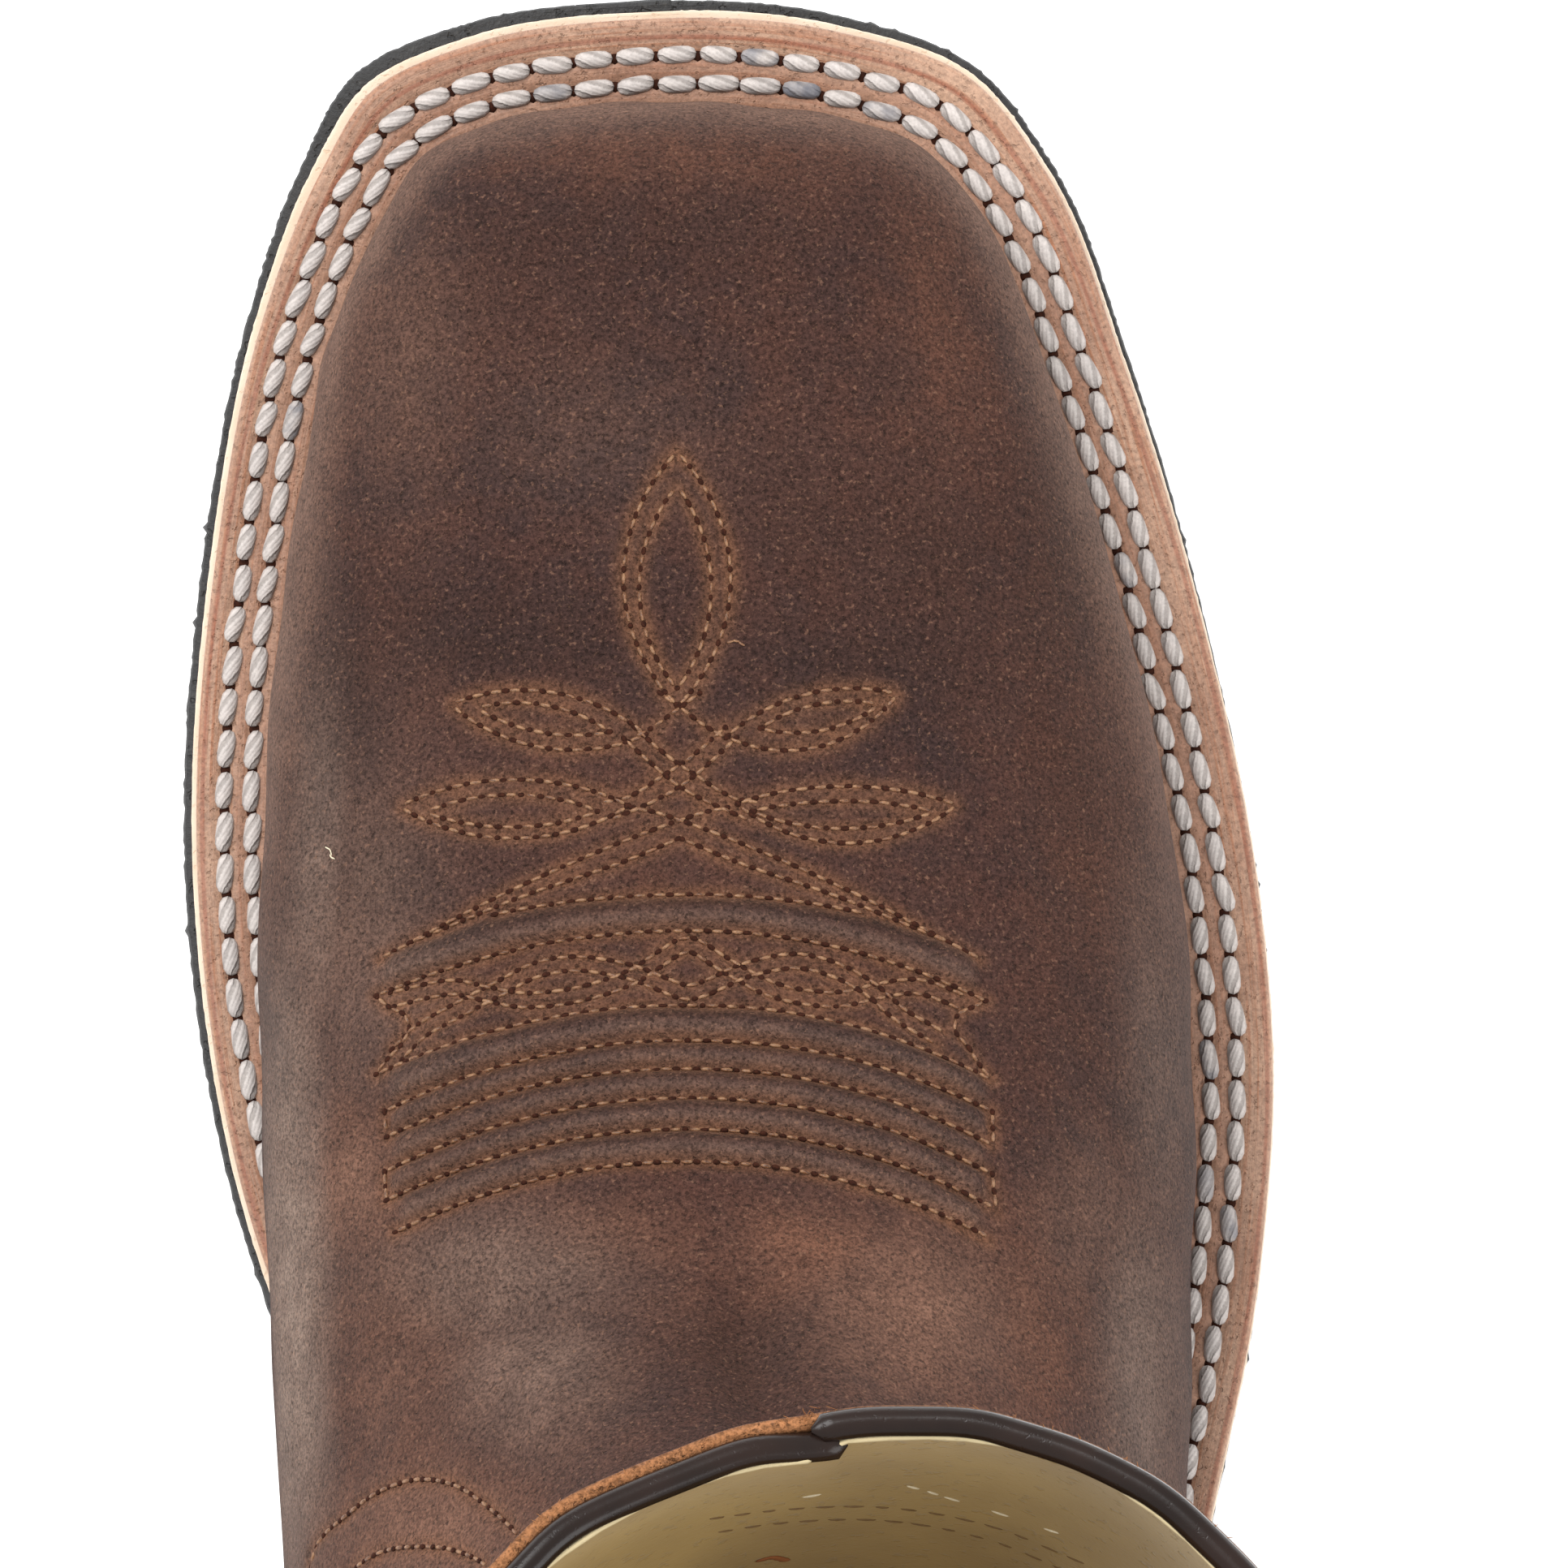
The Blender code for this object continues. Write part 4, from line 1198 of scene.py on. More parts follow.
collar_line = skin.points[collar]
collar_out = level_normals(collar_line)
raw = np.zeros(len(skin.points))
line = collar
for point in RIM:
    ring = collar_line + collar_out * point.out
    ring[:, 2] += point.up
    following = skin.add(ring)
    raw = np.append(raw, np.full(len(following), point.raw))
    skin.band(line, following)
    line = following
foot_points = skin.points[feather]
foot_points[:, 2] = seat(SOLE_LENGTH / 2 - foot_points[:, 1])
foot = skin.add(foot_points)
skin.band(foot, feather)
extra = len(skin.points) - len(seam_halo)
# The cord value holds the cords' painted highlight, and the tone values hold painted sheen and painted shade
# among the leather's tones
skin.values = {
    "seam": np.append(seam_halo, np.zeros(extra)),
    "cord": np.append(cord_painted_highlight, np.zeros(extra)),
    "raw": np.append(raw, np.zeros(len(foot))),
    "tone": np.vstack([tones, np.zeros((extra, 3))]),
}
print("rim and foot", extra, "points")

# %% [markdown]
# ## Oiled nubuck
# The leather's colour is built up in layers, as on the real hide: a cloudy brown ground, the listed
# tones with their painted sheen and painted shade, a grey painted highlight on the cords, warm orange where
# sewing has rubbed the nap, and last the light specks and dark pits of the nap. The shader has only a trace
# of sheen, because the tones already hold the painted sheen of the flanks.

# %% Leather
BROWN_DEEP = paint(47, 33, 31)
BROWN_MID = paint(57, 38, 33)
BROWN_RED = paint(66, 41, 33)
BROWN_WARM = paint(93, 60, 45)
# Laid by the deep tones, which include painted shade in the instep's fold and on the cords' fronts
BROWN_DARK = paint(32, 23, 21)
# Laid as painted sheen by the grey tones and as painted highlight on the cords
BROWN_GREY = paint(113, 96, 86)
BROWN_HALO = paint(96, 65, 47)
SPECK_LIGHT = paint(140, 104, 84)
PIT_DARK = paint(24, 15, 12)
RAW_EDGE = paint(134, 91, 60)
TONE_SHARE = 0.78
CORD_HIGHLIGHT_SHARE = 0.25
SEAM_SHARE = 0.68

leather = Finish(
    "oiled_nubuck", BROWN_DEEP, Roughness=0.78, Specular_IOR_Level=0.08, Sheen_Weight=0.03,
    Sheen_Roughness=0.4, Sheen_Tint=(0.95, 0.75, 0.6, 1.0))
tree = leather.tree
nap = leather.use(nap_group, Scale=2500.0, Cloud=46.0)
warm, deep, grey = parted(tree, attribute(tree, "tone", "Vector"))
uneven = plus(tree, times(tree, nap["Patch"], 0.36), 0.84)
leather.lay(BROWN_MID, nap["Mottle"])
leather.lay(BROWN_RED, nap["Patch"], 0.4)
# The grey tones lay painted sheen, the deep tones partly painted shade, and the cord value a painted
# highlight
for value, amount, over in (
        (warm, TONE_SHARE, BROWN_WARM), (deep, TONE_SHARE, BROWN_DARK), (grey, TONE_SHARE, BROWN_GREY),
        (attribute(tree, "cord"), CORD_HIGHLIGHT_SHARE, BROWN_GREY),
        (attribute(tree, "seam"), SEAM_SHARE, BROWN_HALO)):
    leather.lay(over, times(tree, times(tree, value, amount), uneven))
leather.lay(RAW_EDGE, attribute(tree, "raw"))
leather.shade(nap["Grain"], 0.55, 1.5)
leather.lay(SPECK_LIGHT, nap["Speck"], 0.34)
leather.lay(PIT_DARK, nap["Pit"], 0.42)
upper = make_piece("upper_leather", skin, leather.close(nap["Height"], 0.2, 0.8))
hand_over(upper, "upper", "upper")

# %% [markdown]
# ## One tree for every stitch
# A stitch is a short, fat bit of thread between two needle holes. Modelling hundreds by hand would
# never end, so one Geometry Nodes tree puts a small oval on each point of a row, turned along the row
# and off the leather. The oval has only a few dozen faces: how far the twist has turned at each point
# is stored as an attribute, and the thread's material paints the plies from it, with painted shade in
# the grooves between them. A flat, dark oval from the same tree is the painted shade of a needle hole.

# %% One oval
PLIES = 3.0
# Slightly above 1, so that the ends of the oval don't divide by nothing
BALL = 1.001


def blunted_oval(tree, sizes):
    """An oval one unit in radius with fuller ends, and its twist stored as the attribute ply."""
    ball = {"Segments": sizes["Segments"], "Rings": sizes["Rings"], "Radius": 1.0}
    oval = node(tree, "GeometryNodeMeshUVSphere", ball).outputs["Mesh"]
    axes = parted(tree, node(tree, "GeometryNodeInputPosition", {}).outputs[0])
    angle = math_node(tree, "ARCTAN2", axes[1], axes[0])
    phase = plus(tree, times(tree, angle, PLIES), times(tree, axes[2], sizes["Twist"]))
    away = math_node(tree, "ABSOLUTE", axes[2])
    blunt = math_node(tree, "SUBTRACT", 1.0, math_node(tree, "POWER", away, sizes["Bluntness"]))
    thin = math_node(tree, "SUBTRACT", BALL, math_node(tree, "POWER", away, 2.0))
    fat = math_node(tree, "SQRT", math_node(tree, "DIVIDE", blunt, thin))
    fattened = {0: times(tree, axes[0], fat), 1: times(tree, axes[1], fat), 2: axes[2]}
    place = node(tree, "ShaderNodeCombineXYZ", fattened).outputs[0]
    oval = node(tree, "GeometryNodeSetPosition", {"Geometry": oval, "Position": place}).outputs[0]
    return node(tree, "GeometryNodeStoreNamedAttribute", {"Geometry": oval, "Name": "ply", "Value": phase},
                data_type="FLOAT", domain="POINT").outputs[0]


# %% Stitch tree
def stitch_tree():
    """A tree that turns the points of a row into stitches."""
    tree = bpy.data.node_groups.new("stitch_row", "GeometryNodeTree")
    for key, kind in (("Geometry", "Geometry"), ("Length", "Float"), ("Width", "Float"), ("Height", "Float"),
                      ("Twist", "Float"), ("Bluntness", "Float"), ("Segments", "Int"), ("Rings", "Int"),
                      ("Thread", "Material")):
        tree.interface.new_socket(key, in_out="INPUT", socket_type="NodeSocket" + kind)
    tree.interface.new_socket("Geometry", in_out="OUTPUT", socket_type="NodeSocketGeometry")
    sizes = node(tree, "NodeGroupInput", {}).outputs

    def stored(name, kind):
        return node(tree, "GeometryNodeInputNamedAttribute", {"Name": name}, data_type=kind).outputs[0]

    turn = node(tree, "FunctionNodeAlignRotationToVector", {"Vector": stored("along", "FLOAT_VECTOR")},
                axis="Z").outputs[0]
    turn = node(tree, "FunctionNodeAlignRotationToVector",
                {"Rotation": turn, "Vector": stored("off", "FLOAT_VECTOR")}, axis="X",
                pivot_axis="Z").outputs[0]
    half = [times(tree, sizes[key], 0.5) for key in ("Height", "Width", "Length")]
    half[2] = times(tree, half[2], stored("size", "FLOAT"))
    scale = node(tree, "ShaderNodeCombineXYZ", dict(enumerate(half))).outputs[0]
    row = node(tree, "GeometryNodeInstanceOnPoints", {
        "Points": sizes["Geometry"], "Instance": blunted_oval(tree, sizes), "Rotation": turn,
        "Scale": scale}).outputs[0]
    row = node(tree, "GeometryNodeRealizeInstances", {"Geometry": row}).outputs[0]
    row = node(tree, "GeometryNodeSetShadeSmooth", {"Geometry": row}).outputs[0]
    row = node(tree, "GeometryNodeSetMaterial", {"Geometry": row, "Material": sizes["Thread"]}).outputs[0]
    node(tree, "NodeGroupOutput", {0: row})
    return tree


thread_tree = stitch_tree()
print("stitch tree", len(thread_tree.nodes), "nodes")

# %% [markdown]
# ## Sewing a row
# A row of stitches is a list of places with two directions each: along the row, and off the surface.
# `sew` puts the row through the tree and keeps the plain mesh that comes out, so the finished piece
# has no modifier left on it.

# %% Sewing
Thread = namedtuple("Thread", "length width height twist blunt segments rings", defaults=(0.0, 2.0, 6, 4))


def sew(name, row, thread, material, slot, size=1.0, stain=0.0):
    """A row of stitches as a plain mesh. The row holds places, along and off."""
    mesh = bpy.data.meshes.new(name)
    mesh.from_pydata((row["places"] * MM).tolist(), [], [])
    for key in ("along", "off"):
        mesh.attributes.new(key, "FLOAT_VECTOR", "POINT").data.foreach_set("vector", row[key].ravel())
    for key, value in (("size", size), ("stain", stain)):
        values = np.ones(len(row["places"])) * value
        mesh.attributes.new(key, "FLOAT", "POINT").data.foreach_set("value", values)
    thing = bpy.data.objects.new(name, mesh)
    scene.collection.objects.link(thing)
    modifier = thing.modifiers.new("stitches", "NODES")
    modifier.node_group = thread_tree
    values = {"Length": thread.length * MM, "Width": thread.width * MM, "Height": thread.height * MM,
              "Twist": thread.twist, "Bluntness": thread.blunt, "Segments": thread.segments,
              "Rings": thread.rings, "Thread": material}
    for item in thread_tree.interface.items_tree:
        if item.in_out == "INPUT" and item.name in values:
            modifier[item.identifier] = values[item.name]
    graph = bpy.context.evaluated_depsgraph_get()
    plain = bpy.data.meshes.new_from_object(
        thing.evaluated_get(graph), preserve_all_data_layers=True, depsgraph=graph)
    thing.modifiers.clear()
    thing.data = plain
    plain.name = name
    bpy.data.meshes.remove(mesh)
    hand_over(thing, slot)


def evenly(points, normals, pitch, start=0.5):
    """Places, directions and normals every pitch along a line."""
    run = run_along(points)
    count = max(1, int(round(run[-1] / pitch)))
    at = (np.arange(count) + start) * run[-1] / count
    along = read_off(at, run, np.gradient(points, axis=0))
    return read_off(at, run, points), unit(along), unit(read_off(at, run, normals))


def gather(rows):
    """Several rows of places, along and off as one."""
    return {key: np.vstack(parts) for key, parts in zip(("places", "along", "off"), zip(*rows))}


# %% [markdown]
# ## Thread of the toe
# The toe is sewn with a fine tan thread, a stitch about every 2 mm. The thread shines, with painted glints
# in patches and painted shade in the grooves of its twist, and flat dark ovals of painted shade stand for the
# needle holes between the stitches. Both rows follow the chart's lines on the formed leather.

# %% Shared group: twist
twist_group, entry = new_group("thread_twist", {"Fibre": 5200.0})
fuzz = noise(twist_group, own_place(twist_group), entry["Fibre"], 2.0, 0.6)
twine = plus(twist_group, attribute(twist_group, "ply"), fuzz)
strands = times(twist_group, twine, 4.0)
# Crest is 1 on the crowns of the plies and falls off into the grooves, where a thread keeps its darker colour
# as painted shade; Strand gives finer lines of painted shade
close_group(twist_group, {
    "Crest": ramp(twist_group, math_node(twist_group, "SINE", twine), -1.0, -0.2),
    "Strand": ramp(twist_group, math_node(twist_group, "SINE", strands), -0.9, 0.9),
    "Fuzz": fuzz})

# %% Toe thread
THREAD_TAN = paint(102, 67, 44)
THREAD_SHADE = paint(74, 47, 32)
THREAD_PAINTED_GLINT = paint(166, 128, 94)

tan = Finish("tan_thread", THREAD_SHADE, Roughness=0.45, Specular_IOR_Level=0.35)
twist = tan.use(twist_group, Fibre=4200.0)
nap = tan.use(nap_group, Scale=1600.0, Cloud=260.0)
# The tan lies on the crowns of the twist, the grooves keep the shade colour as painted shade, and patches get
# painted glints
tan.lay(THREAD_TAN, twist["Crest"])
tan.shade(ramp(tan.tree, twist["Fuzz"], 0.3, 0.7), 0.65, 1.35)
tan.lay(THREAD_PAINTED_GLINT, nap["Patch"], 0.45)
tan_thread = tan.close(twist["Fuzz"], 0.08)
# Needle holes are flat dark ovals: painted shade for the inside of each hole
needle_hole_shade = two_tone("needle_hole_shade", (36, 18, 12), (58, 30, 20), nap_group, "Grain", {"Scale": 3000.0},
                       Roughness=0.9, Specular_IOR_Level=0.1)
print("materials", tan_thread.name, needle_hole_shade.name)

# %% Toe stitches
TOE_PITCH = 2.03
TOE_THREAD = Thread(1.25, 0.46, 0.52, -2.5, 3.0, 6, 5)
TOE_HOLE_SHADE = Thread(0.85, 0.64, 0.28)
TOE_SINK = 0.02
TOE_HOLE_RISE = 0.03
TOE_SIZES = (0.85, 1.1)
TOE_HOLE_SIZES = (0.75, 1.2)
LEAST_POINTS = 4

stitch_rows = []
hole_rows = []
for line in chart_lines:
    points, normals = laid(line, formed_tree)
    if len(points) >= LEAST_POINTS:
        stitch_rows.append(evenly(points, normals, TOE_PITCH))
        hole_rows.append(evenly(points, normals, TOE_PITCH, 0.0))
toe_row = gather(stitch_rows)
toe_row["places"] -= TOE_SINK * toe_row["off"]
count = len(toe_row["places"])
sew("toe_stitches", toe_row, TOE_THREAD, tan_thread, "upper",
    rng.uniform(*TOE_SIZES, count), rng.uniform(0.0, 1.0, count))
# Dark ovals of painted shade at the needle holes between the toe stitches
hole_row = gather(hole_rows)
hole_row["places"] += TOE_HOLE_RISE * hole_row["off"]
sew("toe_hole_shades", hole_row, TOE_HOLE_SHADE, needle_hole_shade, "upper",
    rng.uniform(*TOE_HOLE_SIZES, len(hole_row["places"])))

# %% [markdown]
# ## The welt
# The welt is a tan leather strip between upper and sole, a little narrower than the midsole so that a
# cream line shows outside it. Its outer edge is burnished, and two shallow channels hold the stitches.
# Lengthwise the strip runs from heel breast round the toe to heel breast.

# %% Run of the welt
HEEL_BREAST = 238.0
WELT_STATIONS = 420
WELT_TUCK = 1.2
STITCH_SET_BACK = 2.4
ROW_SPACING = 2.85
LEAST_ROW_DEPTH = 1.0

welt_outer = np.stack(inset_curve(edge_behind, edge_across, edge_trim + edge_cream), 1)
welt_inner = np.stack(toe_rounded(inset_curve(edge_behind, edge_across, edge_welt + WELT_TUCK)), 1)
inside = np.nonzero(np.minimum(welt_outer[:, 0], feather_behind) < HEEL_BREAST)[0]
start = inside[np.argmax(np.diff(inside) > 1) + 1]
order = np.arange(start, start + len(inside)) % DENSE
order = order[np.linspace(0, len(order) - 1, WELT_STATIONS + 1).round().astype(int)]
welt_run = run_along(np.stack([edge_behind, edge_across], 1)[order])
welt_width = (edge_welt + WELT_TUCK - edge_trim - edge_cream)[order]
inner_row = np.minimum(edge_row[order] + ROW_SPACING, welt_width - STITCH_SET_BACK)
outer_row = np.maximum(np.minimum(edge_row[order], inner_row - ROW_SPACING), LEAST_ROW_DEPTH)


def welt_place(depth, up):
    """Points of the welt at a depth inside its edge and a height above its seat."""
    share = (depth / welt_width)[:, None]
    plan = welt_outer[order] * (1 - share) + welt_inner[order] * share
    return stand(np.column_stack([plan, seat(plan[:, 0]) + up]))


widths = (welt_width.min().round(1), welt_width.max().round(1))
print("welt", round(welt_run[-1]), "mm long,", *widths, "mm wide at least and at most")

# %% Profile of the welt
CHANNEL_DEPTH = 0.45
CHANNEL_HALF = 1.2
CHANNEL_SHARE = 0.7
CHANNEL_POINTS = 7
EDGE_LIMIT = 0.98
CLEARANCE = 0.02
WELT_FOOT = 0.05
STREAK_REACH = 70.0
WELT_EDGE = table(
    "name depth up", ("foot", 0.0, WELT_FOOT), ("side", 0.0, 2.2), ("shoulder", 0.12, 2.62),
    ("round", 0.42, 2.9), ("burnish", 0.9, 3.0), ("flat", 1.6, 3.0))

channel_start = outer_row - np.minimum(CHANNEL_HALF, outer_row * CHANNEL_SHARE)
profile = [(np.minimum(point.depth, channel_start * EDGE_LIMIT), point.up) for point in WELT_EDGE]
row_gap = np.abs(inner_row - outer_row)
for row_depth in (outer_row, inner_row):
    half = np.minimum(CHANNEL_HALF, row_gap / 2 - CLEARANCE)
    half = np.minimum(half, row_depth * CHANNEL_SHARE)
    for share in np.linspace(-1.0, 1.0, CHANNEL_POINTS):
        sink = CHANNEL_DEPTH * math.cos(share * math.pi / 2) ** 2
        profile.append((np.minimum(row_depth + share * half, welt_width - CLEARANCE), WELT_THICKNESS - sink))
profile += [(welt_width, WELT_THICKNESS), (welt_width, WELT_FOOT)]
welt = Sheet()
welt.tube([welt.add(welt_place(depth, up)) for depth, up in profile])
lies = [np.stack([welt_run, depth, np.zeros_like(depth)], 1) for depth, _ in profile]
toe_share = eased(1 - edge_behind[order] / STREAK_REACH)
welt.values = {"lie": np.vstack(lies), "toe": np.tile(toe_share, len(profile))}
print("profile", len(profile), "points")

# %% Welt leather
WELT_TAN = paint(146, 112, 92)
WELT_PALE = paint(164, 131, 109)
WELT_ORANGE = paint(144, 98, 72)
WELT_BURNISH = paint(126, 70, 50)
WELT_BETWEEN = paint(140, 102, 82)
WELT_SOIL = paint(84, 56, 42)
STREAK_STRETCH = (0.05, 2.2, 0.0)

strip_leather = Finish("tan_welt", WELT_TAN, Roughness=0.55, Specular_IOR_Level=0.4)
tree = strip_leather.tree
lie = attribute(tree, "lie", "Vector")
lie_depth = parted(tree, lie)[1]
streak = noise(tree, stretched(tree, lie, STREAK_STRETCH), 1.0, 3.0, 0.6)
nap = strip_leather.use(nap_group, Scale=2200.0, Cloud=90.0)
strip_leather.lay(WELT_PALE, nap["Mottle"])
strip_leather.lay(WELT_ORANGE, ramp(tree, streak, 0.45, 0.7))
line_place = plus(tree, times(tree, attribute(tree, "toe"), 1.35), 0.4)
line_place = plus(tree, line_place, times(tree, streak, 0.5))
from_line = math_node(tree, "ABSOLUTE", math_node(tree, "SUBTRACT", lie_depth, line_place))
strip_leather.lay(WELT_BURNISH, ramp(tree, from_line, 0.38, 0.08), 0.6)
strip_leather.lay(WELT_BETWEEN, ramp(tree, lie_depth, 3.4, 4.4), 0.6)
strip_leather.shade(nap["Grain"], 0.78, 1.22)
strip_leather.lay(WELT_SOIL, nap["Pit"], 0.35)
tan_welt = strip_leather.close(plus(tree, nap["Height"], streak), 0.15, 0.7)
hand_over(make_piece("welt_strip", welt, tan_welt), "welt", "welt")

# %% [markdown]
# ## Rope stitches of the welt
# Two rows of thick waxed thread hold welt and soles together. Each stitch is an oval of twisted plies,
# about 4.3 mm long, with painted shade in the grooves between the plies, and dark ovals of painted shadow
# part them at the needle holes. Some of the inner ones have taken a grey-blue stain.

# %% Rope
ROPE_WHITE = paint(184, 176, 171)
ROPE_SHADE = paint(150, 142, 137)
ROPE_STAIN = paint(96, 97, 105)

rope = Finish("waxed_rope", ROPE_SHADE, Roughness=0.6, Specular_IOR_Level=0.35, Sheen_Weight=0.15)
tree = rope.tree
twist = rope.use(twist_group, Fibre=2600.0)
nap = rope.use(nap_group, Scale=2600.0, Cloud=330.0)
# The crests of the plies get the white, the grooves keep the shade colour as painted shade, and the strand
# lines are finer painted shade
rope.lay(ROPE_WHITE, twist["Crest"])
rope.lay(ROPE_SHADE, twist["Strand"], 0.09)
rope.shade(nap["Grain"], 0.88, 1.12)
rope.lay(ROPE_STAIN, times(tree, attribute(tree, "stain"), nap["Mottle"]))
waxed_rope = rope.close(plus(tree, twist["Crest"], times(tree, twist["Strand"], 0.2)), 0.14, 0.8)
print("material", waxed_rope.name, len(tree.nodes), "nodes")

# %% Welt stitches
WELT_PITCH = 4.4
ROPE_THREAD = Thread(4.35, 1.95, 1.65, -3.6, 3.8, 8, 7)
ROPE_GAP_SHADOW = Thread(1.05, 1.75, 0.3)
ROPE_RISE = 0.28
ROPE_HOLE_RISE = 0.1
ROPE_LEAN = 0.12
LEAN_SPREAD = 0.06
ASIDE_SPREAD = 0.09
ROPE_SIZES = (0.9, 1.04)
OUTER_STAINED = 0.02
INNER_STAINED = 0.13
STAINED = (0.4, 1.0)
CLEAN = (0.0, 0.12)
UP = np.array([0.0, 0.0, 1.0])

rope_rows = []
rope_holes = []
stains = []
for stained_share, row_depth in ((OUTER_STAINED, outer_row), (INNER_STAINED, inner_row)):
    line = welt_place(row_depth, WELT_THICKNESS - CHANNEL_DEPTH)
    off = np.tile(UP, (len(line), 1))
    rope_rows.append(evenly(line + UP * ROPE_RISE, off, WELT_PITCH))
    rope_holes.append(evenly(line + UP * ROPE_HOLE_RISE, off, WELT_PITCH, 0.0))
    count = len(rope_rows[-1][0])
    stained = rng.uniform(size=count) < stained_share
    stains.append(np.where(stained, rng.uniform(*STAINED, count), rng.uniform(*CLEAN, count)))
rope_row = gather(rope_rows)
along = rope_row["along"]
count = len(along)
inward = np.stack([along[:, 1], -along[:, 0], np.zeros(count)], 1)
lean = ROPE_LEAN * along[:, 1] + rng.normal(0.0, LEAN_SPREAD, count)
rope_row["along"] = along + inward * lean[:, None]
rope_row["places"] += inward * rng.normal(0.0, ASIDE_SPREAD, (count, 1))
sew("welt_stitches", rope_row, ROPE_THREAD, waxed_rope, "welt",
    rng.uniform(*ROPE_SIZES, count), np.concatenate(stains))
# Dark ovals of painted shadow in the gaps between the rope stitches
sew("welt_gap_shadows", gather(rope_holes), ROPE_GAP_SHADOW, needle_hole_shade, "welt")

# %% [markdown]
# ## Midsole and outsole
# Below the welt lie a thin cream midsole and a black rubber outsole. A layer is a stack of closed lines:
# stations from toe to heel on both sides, inset a little at the edges to round them. The rubber's edge
# was trimmed roughly on a wheel, so its line wanders by about a tenth of a millimetre and carries small
# flecks.

# %% Layers of the sole
LAYER_STATIONS = 640
# The stations stop this far short of the tips, where an outline has no width
TIP = 0.06
FLECK_SHARE = 0.02
FLECK_SIZE = 4.0
ROUNDED_WANDER = 0.5
CREAM_ROUGHNESS = 0.02
RUBBER_ROUGHNESS = 0.075
LEVEL_COLUMNS = "inset up"
MIDSOLE_LEVELS = table(
    LEVEL_COLUMNS, (0.1, 0.0), (0.0, 0.25), (0.0, 2.2), (0.12, 2.5), (0.4, MIDSOLE_THICKNESS))
OUTSOLE_LEVELS = table(
    LEVEL_COLUMNS, (1.0, 0.0), (0.3, 0.3), (0.0, 1.0), (0.0, 2.6), (0.05, 4.4), (0.25, 4.85),
    (0.6, OUTSOLE_THICKNESS))


def outline_sides(behind, across, at):
    """Inner and outer edge of a closed outline at places behind the toe."""
    count = len(behind)
    toe = int(np.argmin(behind))
    heel = int(np.argmax(behind))
    lateral = np.arange(toe, toe + (heel - toe) % count + 1) % count
    medial = np.arange(toe, toe - (toe - heel) % count - 1, -1) % count
    return np.interp(at, behind[medial], across[medial]), np.interp(at, behind[lateral], across[lateral])


def sole_layer(behind, across, bottom, levels, roughness):
    """A closed layer inside an outline, through levels from its lowest to its highest."""
    share = (1 - np.cos(np.linspace(0.0, math.pi, LAYER_STATIONS + 1))) / 2
    at = behind.min() + TIP + (behind.max() - behind.min() - 2 * TIP) * share
    medial, lateral = outline_sides(behind, across, at)
    loop_behind = np.concatenate([at, at[::-1]])
    loop_across = np.concatenate([lateral, medial[::-1]])
    rough = roughness * rng.normal(size=len(loop_behind))
    flecks = rng.uniform(size=len(loop_behind)) < FLECK_SHARE
    rough = rough + np.where(flecks, FLECK_SIZE * roughness, 0.0)
    sheet = Sheet()
    loops = []
    for level in levels:
        wander = rough * (1.0 if level.inset == 0 else ROUNDED_WANDER)
        loop = inset_curve(loop_behind, loop_across, level.inset - wander)
        loops.append(sheet.add(stand(np.column_stack([*loop, bottom(loop[0]) + level.up]))))
    sheet.stack(loops)
    return sheet


midsole_edge = inset_curve(edge_behind, edge_across, edge_trim)
midsole = sole_layer(*midsole_edge, midsole_bottom, MIDSOLE_LEVELS, CREAM_ROUGHNESS)
outsole = sole_layer(edge_behind, edge_across, sole_bottom, OUTSOLE_LEVELS, RUBBER_ROUGHNESS)
print("midsole", len(midsole.points), "and outsole", len(outsole.points), "points")

# %% Sole materials
CREAM = paint(212, 193, 172)
CREAM_SHADE = paint(190, 161, 130)
RUBBER = paint(34, 34, 35)
RUBBER_DUST = paint(68, 67, 65)
LAYER_SHARP = 40.0


def napped(name, ground, layers, sizes, bump_mm, strength, **values):
    """A finish of one ground with colours laid on it by outputs of the nap group."""
    finish = Finish(name, ground, **values)
    nap = finish.use(nap_group, **sizes)
    for key, amount, over in layers:
        finish.lay(over, nap[key], amount)
    return finish.close(nap["Height"], bump_mm, strength)


def rubber(name):
    """Black rubber with a little dust."""
    return napped(name, RUBBER, (("Speck", 0.35, RUBBER_DUST), ("Mottle", 0.12, RUBBER_DUST)),
                  {"Scale": 1300.0, "Cloud": 70.0}, 0.25, 0.8, Roughness=0.62, Specular_IOR_Level=0.4)


cream = napped("cream_midsole", CREAM, (("Mottle", 0.35, CREAM_SHADE), ("Pit", 0.4, CREAM_SHADE)),
               {"Scale": 1800.0, "Cloud": 120.0}, 0.1, 0.6, Roughness=0.6)
hand_over(make_piece("midsole_layer", midsole, cream, LAYER_SHARP), "midsole", "midsole")
hand_over(make_piece("outsole_layer", outsole, rubber("black_rubber"), LAYER_SHARP), "outsole", "outsole")

# %% [markdown]
# ## Heel
# The heel is a stack of leather lifts on a rubber cap. Its levels shrink and draw in towards the floor,
# and a shallow groove marks each joint between two lifts.

# %% Heel blocks
HEEL_STATIONS = 64
HEEL_CAP_HEIGHT = 6.0
LIFT_COUNT = 5
LIFT_GROOVE = 0.22
GROOVE_HALF = 0.28
LIFT_EDGE = 0.15
SEAT_EDGE = 0.1
HEEL_LEVELS = table(
    "up shrink undercut", (0.0, 3.2, 7.0), (HEEL_CAP_HEIGHT, 3.0, 6.0), (16.0, 2.4, 3.8),
    (HEEL_HEIGHT, 0.6, 0.6))
CAP_LEVELS = [
    (0.0, 0.5), (0.25, 0.12), (0.8, 0.0), (HEEL_CAP_HEIGHT - 0.4, 0.0), (HEEL_CAP_HEIGHT, LIFT_EDGE)]


